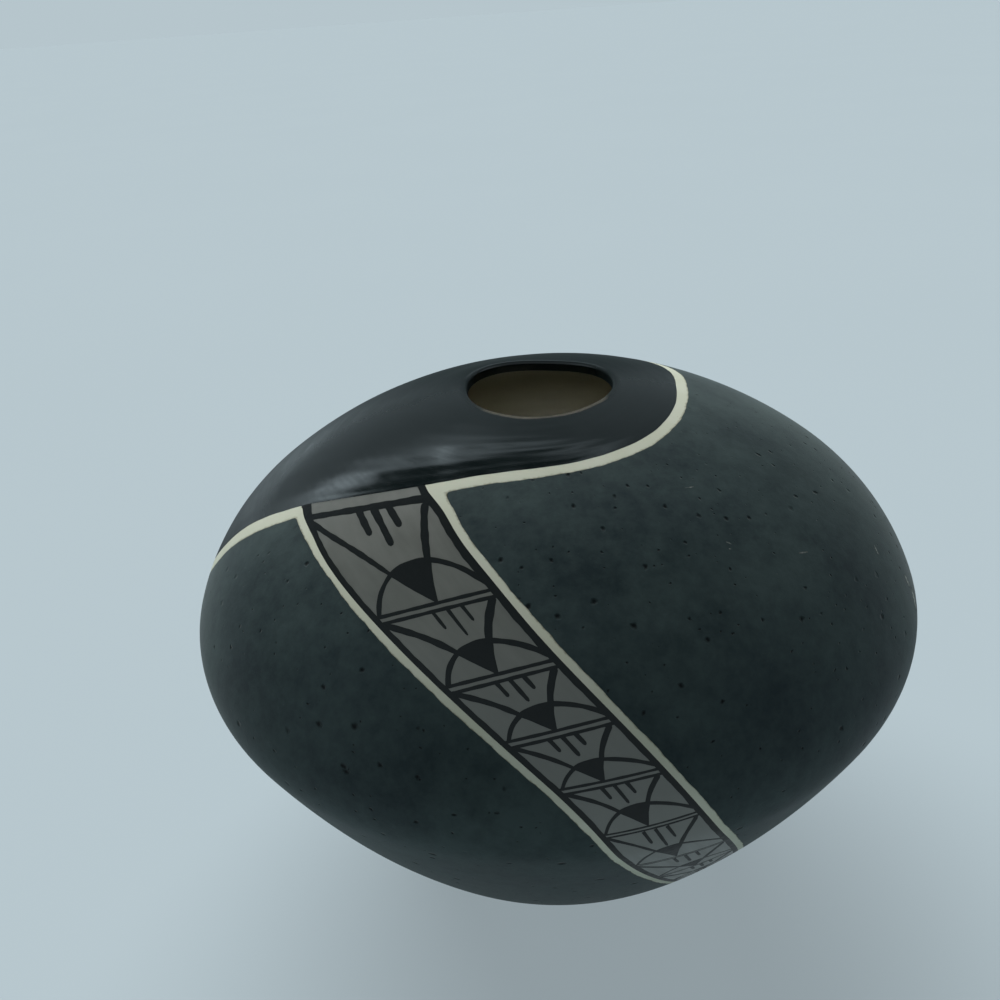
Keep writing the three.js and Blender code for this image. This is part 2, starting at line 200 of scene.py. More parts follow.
# Pale scuffs on the field: both ends, width, and how much of the pale clay shows
SCUFFS = [
    ((-57.4, 35.5), (-54.5, 36.3), 0.35, 0.3), ((-58.1, 51.6), (-57.3, 52.8), 0.6, 0.25),
    ((-58.6, 53.4), (-57.9, 53.8), 0.4, 0.4), ((-46.2, 62.1), (-43.9, 63.4), 0.5, 0.2),
    ((-27.1, 75.8), (-28.2, 78), 0.8, 0.6), ((-22.9, 89.5), (-22.7, 93.5), 2.2, 0.85),
    ((-21.8, 94.6), (-23.8, 99.6), 2.9, 1), ((64, 88), (66, 90), 0.9, 0.6),
    ((128, 101), (129, 103), 1.1, 0.8),
]

# Camera: where it stands, its own axes, and its lens for a square picture
CAMERA_PLACE = (-0.013009, -0.238423, 0.234870)
CAMERA_RIGHT = (0.99741, -0.03315, -0.06380)
CAMERA_UP = (0.07190, 0.45991, 0.88505)
CAMERA_BACK = (0.0, -0.88735, 0.46110)
LENS = 34.28
SENSOR = 36
CLIP = (0.01, 100)

# Floor and room. The floor's colour is what the camera sees of both.
FLOOR_COLOUR = "#bfcfd6"
FLOOR_REACH = 30.0  # in metres
FLOOR_GLOW = 0.5  # the share of its own colour that is seen and mirrored of it, which keeps the shadow pale
ROOM_LIGHT = 0.06  # what the room adds to every side
ROOM_SEEN = 0.9  # how bright it is to the camera, against the floor's colour

# Lamps: from where each one shines, its power, and how many degrees across it is
LAMPS = {
    "soft_lamp": ((-0.18, 0.77, 0.61), 4.9, 65),
    "weak_lamp": ((-0.1, -0.88, 0.47), 0.25, 16),
}

# What polished faces mirror. A direction is measured to the right (x), to the back (y), to either side
# (across), or to the back from the tilted foot of a bright screen (slant).
# Each ramp has its measure, where that starts and ends, and the level at both.
SCREEN_TILT = 0.15
MIRROR_RAMPS = {
    "screen_foot": ("slant", 0.533, 0.6, 0.02, 1),
    "foot_strip": ("slant", 0.6, 0.67, 0.95, 0.3),
    "window_right": ("x", -0.24, -0.05, 1, 0),
    "window_left": ("x", -0.38, -0.26, 0.55, 1),
    "window_top": ("y", 0.66, 0.82, 1, 0),
    "front": ("y", -0.15, 0.2, 0.48, 0),
    "beside": ("across", 0.4, 0.85, 0, 0.5),
    "not_behind": ("y", 0.1, 0.5, 1, 0),
    "pane_foot": ("slant", 0.52, 0.56, 0, 1),
    "pane_top": ("slant", 0.61, 0.65, 1, 0),
}
WINDOW_SEEN = 0.52  # what the window adds to the screen
WINDOW_PANES = [(-0.55, 0.075, 1.2), (-0.285, 0.035, 0.95)]  # bright panes: middle, half width, strength

# How finely lines and surfaces are worked out
STROKE_POINTS = 1600  # along each pale stroke
BAND_POINTS = 420  # along the edges beside the band
CAP_POINTS = 900  # along the edges round the cap
LEAVE_STEPS = 12  # over which a stroke's first direction is taken
FIELD_GRID = (360, 110)
FIELD_UPRIGHT = [60, 172]  # between these azimuths the field's grid runs straight down
FIELD_LEAN = [0.5, 0.2]  # over what share of the way round it leans along each of the pale strokes
CAP_GRID = (420, 74)
BAND_TOP_POINTS = 50
LIP_POINTS = 10
MOUTH_POINTS = 4
LINE_ACROSS = 9
BAND_GRID = (300, 40)
BRUSH_STEP = 0.6
BRUSH_LEAST = 12
BRUSH_TIP = 0.12  # share of a half circle at which a round end starts
ACROSS_FILM = np.linspace(-1, 1, 5)
LEAD_POINTS = 8
BORDER_POINTS = 500
PAST_ENDS = 0.2  # how far the cap's edge over the band is followed past both ends
CROSS_POINTS = 60
MOTIF_POINTS = 120
WEDGE_GRID = (30, 16)
HANG_POINTS = 12
SCUFF_POINTS = 8
WALL_POINTS = 60
WALL_SIDES = 180
RIM_POINTS = 8
BASE_GRID = 97
EDGE_POINTS = 7
UNDER_POINTS = 20
LEVEL_SLACK = 0.02  # within which a face of the base pad counts as its floor
SHARP_ANGLE = 40  # edges sharper than this stay crisp
FULL_TURN = np.array([360, 0])

# Where the draws of each kind of stroke start
EDGE_SEED = 11
BORDER_SEED = 21
TOP_LINE_SEED = 31
DIVIDER_SEED = 40
PANEL_SEED = 100
PANEL_SEEDS = 20  # kept for one panel
HANG_SEED = 5  # after its rays and its arch
SCUFF_SEED = 300


# The wall's outline


def heading(angle):
    """Unit vector, outward and upward, at an angle above level in radians."""
    return np.array([math.cos(angle), math.sin(angle)])


def tangent_arc(start, angle, end):
    """The arc that leaves start square to the normal at that angle and ends on end. Its radius is the
    squared chord over twice the chord's fall along the normal. Gives its centre, its radius and the
    normal's angle at its end."""
    chord = end - start
    radius = -(chord @ chord) / (2 * chord @ heading(angle))
    centre = start - radius * heading(angle)
    reach = end - centre
    return centre, radius, math.atan2(reach[1], reach[0])


def outline_arcs():
    """The outline from the mouth to the base as five arcs that meet smoothly: dome, shoulder, upper and
    lower belly, flank. Each row is centre radius, centre height, arc radius, and the normal's angle at
    the top and bottom."""
    up = math.radians(BELLY_TURN_UP)
    low = -math.radians(BELLY_TURN_DOWN)
    over = up + math.radians(SHOULDER_TURN)
    belly = np.array([BELLY_RADIUS - BELLY_ARC, BELLY_HEIGHT])
    shoulder = belly + (BELLY_ARC - SHOULDER_ARC) * heading(up)
    mouth = np.array([MOUTH_RADIUS, RIM_HEIGHT])
    foot = np.array([BASE_RADIUS, 0.0])
    dome, dome_radius, mouth_angle = tangent_arc(shoulder + SHOULDER_ARC * heading(over), over, mouth)
    flank, flank_radius, foot_angle = tangent_arc(belly + BELLY_ARC * heading(low), low, foot)
    return np.array([
        (*dome, dome_radius, mouth_angle, over),
        (*shoulder, SHOULDER_ARC, over, up),
        (*belly, BELLY_ARC, up, 0),
        (*belly, BELLY_ARC, 0, low),
        (*flank, flank_radius, low, foot_angle),
    ])


ARCS = outline_arcs()
ARC_STARTS = np.concatenate([[0], np.cumsum(ARCS[:, 2] * (ARCS[:, 3] - ARCS[:, 4]))])
DOME = ARCS[0]
FLANK = ARCS[-1]


def wall(down, depth):
    """Radius and height of the wall a distance down from the mouth: the point on the arc that holds that
    distance, moved in along the normal by the depth."""
    which = np.clip(np.searchsorted(ARC_STARTS, down, side="right") - 1, 0, len(ARCS) - 1)
    arc = ARCS[which]
    angle = arc[..., 3] - (down - ARC_STARTS[which]) / arc[..., 2]
    reach = arc[..., 2] - depth
    return arc[..., 0] + reach * np.cos(angle), arc[..., 1] + reach * np.sin(angle)


def normal_angle(down):
    """How far the wall's normal points above level."""
    which = np.clip(np.searchsorted(ARC_STARTS, down, side="right") - 1, 0, len(ARCS) - 1)
    return ARCS[which, 3] - (down - ARC_STARTS[which]) / ARCS[which, 2]


def down_on_dome(radius, depth):
    """The way down the dome to a radius, by the arc cosine on its circle."""
    return DOME[2] * (DOME[3] - math.acos((radius - DOME[0]) / (DOME[2] - depth)))


def down_on_flank(height, depth):
    """The way down the flank to a height, by the arc sine on its circle."""
    angle = math.asin((height - FLANK[1]) / (FLANK[2] - depth))
    return ARC_STARTS[-2] + FLANK[2] * (FLANK[3] - angle)


def ease(value, low, high):
    """A smooth step from 0 at low to 1 at high."""
    share = np.clip((value - low) / (high - low), 0, 1)
    return share * share * (3 - 2 * share)


def hand_swell(azimuth, down):
    """How far the finished surface dips in: a few slow waves round and down the wall, none at the lip."""
    turn = np.radians(azimuth)
    waves = sum(np.sin(count * turn + down / slope + phase) for count, slope, phase in HAND_WAVES)
    return HAND_SWELL * (0.5 + waves / (2 * len(HAND_WAVES))) * ease(down, *HAND_FADE)


def out_of_round(points):
    """Points moved in or out by the sum of the mouth's waves and pressed down a little. Both are whole at
    the lip and die away within its reach."""
    x, y, z = np.moveaxis(points, -1, 0)
    radius = np.hypot(x, y)
    turn = np.degrees(np.arctan2(y, x))
    near = 1 - ease(radius, MOUTH_RADIUS + LIP_ROUND, MOUTH_RADIUS + MOUTH_REACH)
    drift = sum(size * np.cos(np.radians(count * (turn - crest))) for count, size, crest in MOUTH_WAVES)
    stretch = 1 + drift * near / np.maximum(radius, 1)
    return np.stack([x * stretch, y * stretch, z - LIP_SAG * near], axis=-1)


def carried_round(radius, height, azimuth):
    """Points at a radius and height, carried round to an azimuth."""
    turn = np.radians(azimuth)
    return np.stack(np.broadcast_arrays(radius * np.cos(turn), radius * np.sin(turn), height), axis=-1)


def on_vase(azimuth, down, depth):
    """Points in space from an azimuth, a way down the wall and a depth below the finished surface."""
    radius, height = wall(down, depth + hand_swell(azimuth, down))
    return out_of_round(carried_round(radius, height, azimuth))


LIP_ANGLE = math.acos((MOUTH_RADIUS + LIP_ROUND - DOME[0]) / (DOME[2] - LIP_ROUND))
LIP_DOWN = DOME[2] * (DOME[3] - LIP_ANGLE)
LIP_HEIGHT = DOME[1] + (DOME[2] - LIP_ROUND) * math.sin(LIP_ANGLE)
FOOT_DOWN = down_on_flank(BASE_THICKNESS, 0)
COAT_END = FOOT_DOWN + COAT_LAP
SHOULDER_DOWN = ARC_STARTS[1]
BELLY_DOWN = ARC_STARTS[3]


# Lines drawn on the wall, as rows of azimuth and way down


def mm_steps(line):
    """Each step of a line in millimetres: round the wall and down it."""
    middle = (line[1:, 1] + line[:-1, 1]) / 2
    radius = wall(middle, 0)[0]
    step = np.diff(line, axis=0)
    return np.column_stack([np.radians(step[:, 0]) * radius, step[:, 1]])


def way_along(line):
    """Length along a line at each of its points."""
    return np.concatenate([[0], np.cumsum(np.linalg.norm(mm_steps(line), axis=1))])


def evenly(line, count):
    """The same line with points at even spacing."""
    along = way_along(line)
    at = np.linspace(0, along[-1], count)
    return np.column_stack([np.interp(at, along, column) for column in line.T])


def straight(left, right, share):
    """Places between two points of the wall on the straightest way between them. A level line on a dome
    bows down from that way, so it is lifted by half the squared span times the sine of the normal's angle
    over the radius."""
    place = left + (right - left) * share[..., None]
    radius = wall(place[..., 1], 0)[0]
    span = np.radians(right[..., 0] - left[..., 0]) * radius
    lift = span ** 2 * np.sin(normal_angle(place[..., 1])) / (2 * radius) * share * (1 - share)
    return np.stack([place[..., 0], place[..., 1] - lift], axis=-1)


def leftward(line):
    """Unit step to the left of a line at each point, as degrees round and millimetres down for one
    millimetre."""
    radius = wall(line[:, 1], 0)[0]
    round_step = np.radians(np.gradient(line[:, 0])) * radius
    down_step = np.gradient(line[:, 1])
    size = np.hypot(round_step, down_step)
    return np.column_stack([np.degrees(down_step / size / radius), -round_step / size])


def smooth_stroke(points, count):
    """A natural cubic spline through the points, with their distance on the wall as its measure: the second
    derivatives solve the usual three-term equations, and are zero at both ends."""
    points = np.array(points, float)
    measure = way_along(points[:, :2])
    gap = np.diff(measure)
    slope = np.diff(points, axis=0) / gap[:, None]
    inner = np.diag(2 * (gap[1:] + gap[:-1])) + np.diag(gap[1:-1], 1) + np.diag(gap[1:-1], -1)
    bend = np.zeros_like(points)
    bend[1:-1] = np.linalg.solve(inner, 6 * np.diff(slope, axis=0))
    at = np.linspace(0, measure[-1], count)
    k = np.clip(np.searchsorted(measure, at, side="right") - 1, 0, len(gap) - 1)
    past = (at - measure[k])[:, None]
    span = gap[k][:, None]
    return (
        points[k]
        + past * (slope[k] - span * (2 * bend[k] + bend[k + 1]) / 6)
        + past ** 2 * bend[k] / 2
        + past ** 3 * (bend[k + 1] - bend[k]) / (6 * span)
    )


def unsteady(along, waves, seed):
    """A hand's unsteadiness along a line: a sum of sines of the given lengths and sizes, with drawn
    phases."""
    phases = np.random.default_rng(seed).uniform(0, 2 * math.pi, len(waves))
    lengths, sizes = np.array(waves).T
    return (sizes * np.sin(2 * math.pi * along[:, None] / lengths + phases)).sum(axis=1)


def roughened(line, waves, seed):
    """A line moved sideways by a hand's unsteadiness, which fades out towards both ends."""
    along = way_along(line)
    fade = ease(along, 0, WAVER_FADE) * ease(along[-1] - along, 0, WAVER_FADE)
    return line + leftward(line) * (unsteady(along, waves, seed) * fade)[:, None]


def cut_at_foot(line):
    """A line that runs past the foot, ended where the coats end."""
    above = line[line[:, 1] < COAT_END]
    return np.vstack([above, (np.interp(COAT_END, line[:, 1], line[:, 0]), COAT_END)])


def first_way(line):
    """Unit direction in millimetres in which a line leaves its first point."""
    steps = mm_steps(line[: LEAVE_STEPS + 1]).sum(axis=0)
    return steps / np.linalg.norm(steps)


def corner_of(first, second, width):
    """Where the edges of two strokes meet at a corner: half the width over the sine of half the angle,
    out from the corner and in along its middle line, with the inner tip rubbed soft. Gives the outer tip,
    the inner tip and the length that the inner edges lose."""
    ways = first_way(first), first_way(second)
    half = math.acos(np.dot(*ways)) / 2
    middle = (ways[0] + ways[1]) / (2 * math.cos(half))
    radius = wall(first[0, 1], 0)[0]
    shift = np.array([np.degrees(middle[0] / radius), middle[1]]) * width / 2 / math.sin(half)
    soft = np.array([np.degrees(middle[0] / radius), middle[1]]) * CORNER_SOFT * math.cos(half) / 2
    return first[0] - shift, first[0] + shift + soft, width / 2 / math.tan(half) + CORNER_SOFT


def stroke_edges(stroke, near_side, start, end):
    """Both edges of a pale stroke: the one beside the cap or the band, and the one beside the field. A
    corner at either end puts its tips there and shortens the field's edge; a stroke without an end corner
    stops at the foot."""
    line = stroke[:, :2]
    along = way_along(line)
    side = leftward(line) * (near_side * stroke[:, 2] / 2)[:, None]
    near = line + side
    field = line - side
    if end is None:
        near = np.vstack([start[0], cut_at_foot(near[1:])])
        field = np.vstack([start[1], cut_at_foot(field[along > start[2]])])
    else:
        kept = (along > start[2]) & (along < along[-1] - end[2])
        near = np.vstack([start[0], near[1:-1], end[0]])
        field = np.vstack([start[1], field[kept], end[1]])
    return near, field


right_stroke = smooth_stroke(RIGHT_OF_BAND, STROKE_POINTS)
cap_stroke = smooth_stroke(ROUND_CAP, STROKE_POINTS)
left_stroke = smooth_stroke(LEFT_OF_BAND, STROKE_POINTS)
right_corner = corner_of(right_stroke[:, :2], cap_stroke[:, :2], RIGHT_OF_BAND[0][2])
left_corner = corner_of(left_stroke[:, :2], cap_stroke[::-1, :2], LEFT_OF_BAND[0][2])
right_near, right_field = stroke_edges(right_stroke, -1, right_corner, None)
cap_near, cap_field = stroke_edges(cap_stroke, 1, right_corner, left_corner)
left_near, left_field = stroke_edges(left_stroke, 1, left_corner, None)

# The field's brush left a wavering edge on the pale line; the other edge is crisp
right_near = roughened(evenly(right_near, BAND_POINTS), CRISP_WAVES, EDGE_SEED)
cap_near = roughened(evenly(cap_near, CAP_POINTS), CRISP_WAVES, EDGE_SEED + 1)
left_near = roughened(evenly(left_near, BAND_POINTS), CRISP_WAVES, EDGE_SEED + 2)
right_field = roughened(evenly(right_field, BAND_POINTS), FIELD_WAVES, EDGE_SEED + 3)
cap_field = roughened(evenly(cap_field, CAP_POINTS), FIELD_WAVES, EDGE_SEED + 4)
left_field = roughened(evenly(left_field, BAND_POINTS), FIELD_WAVES, EDGE_SEED + 5)


# Meshes


def shell_faces(rows, columns, ring):
    """Quads of a closed shell over a grid: its face, its back turned round, and walls along the open
    edges. A ring joins the last row to the first."""
    index = np.arange(rows * columns).reshape(rows, columns)
    if ring:
        index = np.vstack([index, index[:1]])
    back = rows * columns
    corners = index[:-1, :-1], index[1:, :-1], index[1:, 1:], index[:-1, 1:]
    face = np.stack(corners, axis=-1).reshape(-1, 4)
    edges = [(index[1:, 0], index[:-1, 0]), (index[:-1, -1], index[1:, -1])]
    if not ring:
        edges += [(index[0, :-1], index[0, 1:]), (index[-1, 1:], index[-1, :-1])]
    sides = [np.column_stack([a, b, b + back, a + back]) for a, b in edges]
    return np.vstack([face, face[:, ::-1] + back, *sides])


def outward(points, faces):
    """The faces of a closed shell, turned round if its volume, summed as tetrahedra from the origin, is
    negative."""
    a, b, c, d = (points[faces[:, i]] for i in range(4))
    volume = np.einsum("ij,ij->", a, np.cross(b, c)) + np.einsum("ij,ij->", a, np.cross(c, d))
    return faces if volume > 0 else faces[:, ::-1]


def shell(face, back, ring=False):
    """Points and quads of a closed shell between a face and a back of the same grid."""
    rows, columns = face.shape[:2]
    points = np.concatenate([face.reshape(-1, 3), back.reshape(-1, 3)])
    return points, outward(points, shell_faces(rows, columns, ring))


def turned(profile, sides):
    """A profile of radius and height, closed on itself and carried round the axis."""
    azimuth = np.linspace(0, 360, sides, endpoint=False)[:, None]
    radius, height = profile.T
    grid = out_of_round(carried_round(radius, height, azimuth))
    index = np.arange(sides * len(profile)).reshape(sides, -1)
    after = np.roll(index, -1, axis=0)
    corners = index, after, np.roll(after, -1, axis=1), np.roll(index, -1, axis=1)
    points = grid.reshape(-1, 3)
    return points, outward(points, np.stack(corners, axis=-1).reshape(-1, 4))


def add_piece(name, points, faces, materials, slot, replaced=(), finish=None, values=None):
    """A mesh object from points in millimetres and quads, smooth but for its sharp edges, with a material
    number for each face and named values for each point, riding on the vase."""
    mesh = bpy.data.meshes.new(name)
    mesh.vertices.add(len(points))
    mesh.vertices.foreach_set("co", (points * MM).ravel())
    mesh.loops.add(faces.size)
    mesh.loops.foreach_set("vertex_index", faces.ravel())
    mesh.polygons.add(len(faces))
    mesh.polygons.foreach_set("loop_start", np.arange(len(faces)) * faces.shape[1])
    for material in materials:
        mesh.materials.append(material)
    if finish is not None:
        mesh.polygons.foreach_set("material_index", finish)
    for key, value in (values or {}).items():
        kind = "FLOAT_VECTOR" if value.ndim == 2 else "FLOAT"
        field = "vector" if value.ndim == 2 else "value"
        mesh.attributes.new(key, kind, "POINT").data.foreach_set(field, value.ravel())
    mesh.update(calc_edges=True)
    mesh.polygons.foreach_set("use_smooth", np.ones(len(faces), bool))
    mesh.set_sharp_from_angle(angle=math.radians(SHARP_ANGLE))
    piece = bpy.data.objects.new(name, mesh)
    bpy.context.collection.objects.link(piece)
    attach(piece, "root")
    if replaced:
        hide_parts(*replaced)
    return piece


# Materials


def srgb(code):
    """Linear colour from a hex code."""
    parts = [int(code[i:i + 2], 16) / 255 for i in (1, 3, 5)]
    return (*[c / 12.92 if c <= 0.04045 else ((c + 0.055) / 1.055) ** 2.4 for c in parts], 1)


def per_metre(size):
    """Texture scale whose features have this size in millimetres."""
    return 1 / (size * MM)


def fill(tree, made, sockets):
    """Fills a node's sockets with values, with links, or with links from the main output of other nodes."""
    for key, value in sockets.items():
        if isinstance(value, bpy.types.Node):
            value = next(output for output in value.outputs if output.enabled)
        if isinstance(value, bpy.types.NodeSocket):
            tree.links.new(value, made.inputs[key])
        else:
            made.inputs[key].default_value = value


def node(tree, kind, sockets=None, **settings):
    """Adds a shader node, gives it its settings, and fills its sockets."""
    made = tree.nodes.new("ShaderNode" + kind)
    for key, value in settings.items():
        setattr(made, key, value)
    fill(tree, made, sockets or {})
    return made


def new_material(name):
    """A node material with only a principled shader on its output, and the place that patterns follow."""
    material = bpy.data.materials.new(name)
    material.use_nodes = True
    tree = material.node_tree
    tree.nodes.clear()
    shader = node(tree, "BsdfPrincipled")
    node(tree, "OutputMaterial", {"Surface": shader})
    return material, tree, shader, node(tree, "TexCoord").outputs["Object"]


# Sockets by number: a MapRange takes its value at 0, its range at 1 and 2, and what that becomes at 3 and 4.
# A Mix takes its share at 0, and two numbers at 2 and 3 or two colours at these:
MIX_A, MIX_B = 6, 7


def burnished_black_slip():
    """Black slip rubbed with a smooth stone while leather-hard: a deep gloss in front that breaks into
    fine streaks where the stone passed, a dull satin behind the mouth, a slightly cloudy green-black, and
    brown clay on the lip."""
    material, tree, shader, place = new_material("stone_polished_black_slip")
    flow = node(tree, "Attribute", attribute_name="flow").outputs["Vector"]
    worn = node(tree, "Attribute", attribute_name="worn").outputs["Fac"]
    polish = node(tree, "Attribute", attribute_name="polish").outputs["Fac"]
    cloud = node(tree, "TexNoise", {"Vector": place, "Scale": per_metre(20), "Detail": 4, "Roughness": 0.6})
    streak = node(tree, "TexNoise", {"Vector": flow, "Scale": per_metre(20), "Detail": 5, "Roughness": 0.6})
    patch = node(tree, "TexNoise", {"Vector": place, "Scale": per_metre(7), "Detail": 4, "Roughness": 0.6})
    grain = node(tree, "TexNoise", {"Vector": place, "Scale": per_metre(0.9), "Detail": 3})
    tone = node(tree, "Mix", {0: cloud, MIX_A: srgb("#0c1515"), MIX_B: srgb("#131b1c")}, data_type="RGBA")
    rubbed = node(tree, "Math", {0: worn, 1: patch}, operation="MULTIPLY")
    bare = node(tree, "MapRange", {0: rubbed, 1: 0.2, 2: 0.45, 3: 0, 4: 0.7})
    shown = node(tree, "Mix", {0: bare, MIX_A: tone, MIX_B: srgb("#5a564b")}, data_type="RGBA")
    both = node(tree, "Math", {0: streak, 1: patch}, operation="ADD")
    rubs = node(tree, "MapRange", {0: both, 1: 0.75, 2: 1.3, 3: 0.06, 4: 0.2})
    gloss = node(tree, "Mix", {0: polish, 2: 0.6, 3: rubs})
    shine = node(tree, "MapRange", {0: polish, 1: 0, 2: 1, 3: 0.15, 4: 0.5})
    swept = node(tree, "Bump", {"Height": streak, "Strength": 0.2, "Distance": 0.02 * MM})
    fine = node(tree, "Bump", {"Height": grain, "Strength": 0.2, "Distance": 0.02 * MM, "Normal": swept})
    fill(tree, shader, {
        "Base Color": shown, "Roughness": gloss, "Specular IOR Level": shine, "Normal": fine})
    return material


def spots(tree, skin, spacing, reach, chance):
    """Scattered spots: in each cell of a grid of drawn points, a spot round its point whose reach grows
    with the draw above a chance. Gives 1 in a spot and 0 outside."""
    cells = node(tree, "TexVoronoi", {"Vector": skin, "Scale": per_metre(spacing)}, voronoi_dimensions="2D")
    draw = node(tree, "SeparateColor", {0: cells.outputs["Color"]})
    size = node(tree, "MapRange", {0: draw.outputs["Red"], 1: chance, 2: 1, 3: 0.001, 4: reach / spacing})
    inner = node(tree, "Math", {0: size, 1: 0.3}, operation="MULTIPLY")
    return node(tree, "MapRange", {0: cells.outputs["Distance"], 1: inner, 2: size, 3: 1, 4: 0})


def matte_charcoal_slip():
    """Charcoal slip left unpolished: slate grey, clouded with green and blue, with a faint dusty bloom at
    glancing angles, pits where grit fell out with painted shade darkening their hollows, and a fine tooth."""
    material, tree, shader, place = new_material("matte_charcoal_slip")
    skin = node(tree, "Attribute", attribute_name="skin").outputs["Vector"]
    cloud = node(tree, "TexNoise", {"Vector": place, "Scale": per_metre(24), "Detail": 6, "Roughness": 0.62})
    tint = node(tree, "TexNoise", {"Vector": place, "Scale": per_metre(40), "Detail": 3})
    grain = node(tree, "TexNoise", {"Vector": place, "Scale": per_metre(0.8), "Detail": 4, "Roughness": 0.7})
    slate = node(tree, "Mix", {0: tint, MIX_A: srgb("#253231"), MIX_B: srgb("#263036")}, data_type="RGBA")
    mottle = node(tree, "TexNoise", {"Vector": place, "Scale": per_metre(4), "Detail": 5, "Roughness": 0.7})
    mixed = node(tree, "Math", {0: mottle, 1: 0.6, 2: cloud}, operation="MULTIPLY_ADD")
    light = node(tree, "MapRange", {0: mixed, 1: 0.58, 2: 1.0, 3: 0, 4: 0.85})
    tone = node(tree, "Mix", {0: light, MIX_A: slate, MIX_B: srgb("#404e4e")}, data_type="RGBA")
    # Pits with ragged outlines, more of them in some places than in others
    ragged = node(tree, "TexNoise", {"Vector": place, "Scale": per_metre(1.5), "Detail": 2})
    pushed = node(tree, "VectorMath", {
        0: ragged.outputs["Color"], 1: (0.0012, 0.0009, 0), 2: skin}, operation="MULTIPLY_ADD")
    where = node(tree, "TexNoise", {"Vector": place, "Scale": per_metre(30), "Detail": 1})
    dense = node(tree, "MapRange", {0: where, 1: 0.4, 2: 0.5, 3: 0, 4: 1})
    large = spots(tree, pushed, 7, 0.95, 0.3)
    crowded = node(tree, "Math", {0: large, 1: dense}, operation="MULTIPLY")
    pit = node(tree, "Math", {0: crowded, 1: spots(tree, pushed, 4, 0.38, 0.5)}, operation="MAXIMUM")
    # Painted shade: the pits are coloured near black, as the shade in their hollows
    pits_painted_shade = node(tree, "Mix", {0: pit, MIX_A: tone, MIX_B: srgb("#0d1213")}, data_type="RGBA")
    sheen = node(tree, "MapRange", {0: cloud, 1: 0.3, 2: 0.7, 3: 0.5, 4: 0.62})
    hollow = node(tree, "Bump", {"Height": pit, "Strength": 0.7, "Distance": 0.35 * MM}, invert=True)
    tooth = node(tree, "Bump", {"Height": grain, "Strength": 0.4, "Distance": 0.1 * MM, "Normal": hollow})
    fill(tree, shader, {
        "Base Color": pits_painted_shade, "Roughness": sheen, "Normal": tooth, "Specular IOR Level": 0.08,
        "Sheen Weight": 0.12, "Sheen Roughness": 0.4, "Sheen Tint": srgb("#c9d3cf")})
    return material


def cream_slip():
    """Cream clay slip laid on with a brush: matte, faintly yellow in patches, with a few brown specks and
    a stained edge where the charcoal runs into it."""
    material, tree, shader, place = new_material("brushed_cream_slip")
    across = node(tree, "Attribute", attribute_name="across").outputs["Fac"]
    patch = node(tree, "TexNoise", {"Vector": place, "Scale": per_metre(9), "Detail": 4})
    fine = node(tree, "TexNoise", {"Vector": place, "Scale": per_metre(0.7), "Detail": 3})
    tone = node(tree, "Mix", {0: patch, MIX_A: srgb("#cbd1c3"), MIX_B: srgb("#bcc2ab")}, data_type="RGBA")
    speck = node(tree, "TexVoronoi", {"Vector": place, "Scale": per_metre(3.5), "Randomness": 1})
    draw = node(tree, "SeparateColor", {0: speck.outputs["Color"]})
    size = node(tree, "MapRange", {0: draw.outputs["Green"], 1: 0.6, 2: 1, 3: 0, 4: 0.1})
    spot = node(tree, "Math", {0: speck.outputs["Distance"], 1: size}, operation="LESS_THAN")
    faint = node(tree, "Math", {0: spot, 1: 0.6}, operation="MULTIPLY")
    spotted = node(tree, "Mix", {0: faint, MIX_A: tone, MIX_B: srgb("#8b7c5a")}, data_type="RGBA")
    ragged = node(tree, "Math", {0: fine, 1: 0.3, 2: across}, operation="MULTIPLY_ADD")
    stain = node(tree, "MapRange", {0: ragged, 1: 1.0, 2: 1.2, 3: 0, 4: 0.85})
    stained = node(tree, "Mix", {0: stain, MIX_A: spotted, MIX_B: srgb("#6d6a4c")}, data_type="RGBA")
    rough = node(tree, "MapRange", {0: fine, 1: 0.3, 2: 0.7, 3: 0.55, 4: 0.75})
    brushed = node(tree, "Bump", {"Height": fine, "Strength": 0.3, "Distance": 0.06 * MM})
    fill(tree, shader, {"Base Color": stained, "Roughness": rough, "Normal": brushed})
    return material


def satin_grey_slip():
    """Grey slip lightly rubbed: a satin ground with brush streaks along the band, painted paler lower down as
    a reflection of the pale table."""
    material, tree, shader, place = new_material("satin_grey_slip")
    flow = node(tree, "Attribute", attribute_name="flow").outputs["Vector"]
    streak = node(tree, "TexNoise", {"Vector": flow, "Scale": per_metre(14), "Detail": 4})
    cloud = node(tree, "TexNoise", {"Vector": place, "Scale": per_metre(12), "Detail": 4})
    grain = node(tree, "TexNoise", {"Vector": place, "Scale": per_metre(0.6), "Detail": 3})
    both = node(tree, "Math", {0: streak, 1: cloud}, operation="ADD")
    share = node(tree, "MapRange", {0: both, 1: 0.7, 2: 1.3, 3: 0, 4: 1})
    tone = node(tree, "Mix", {0: share, MIX_A: srgb("#5b5f5a"), MIX_B: srgb("#686c67")}, data_type="RGBA")
    along = node(tree, "SeparateXYZ", {0: flow}).outputs["X"]
    # Painted reflection: the ground turns paler lower down the band, where it faces the pale table
    painted_table_reflection = node(tree, "MapRange", {0: along, 1: 45 * MM, 2: 80 * MM, 3: 0, 4: 0.55})
    laid = node(tree, "Mix", {0: painted_table_reflection, MIX_A: tone, MIX_B: srgb("#808480")}, data_type="RGBA")
    gloss = node(tree, "MapRange", {0: streak, 1: 0.3, 2: 0.7, 3: 0.34, 4: 0.5})
    fine = node(tree, "Bump", {"Height": grain, "Strength": 0.25, "Distance": 0.04 * MM})
    fill(tree, shader, {"Base Color": laid, "Roughness": gloss, "Normal": fine})
    return material


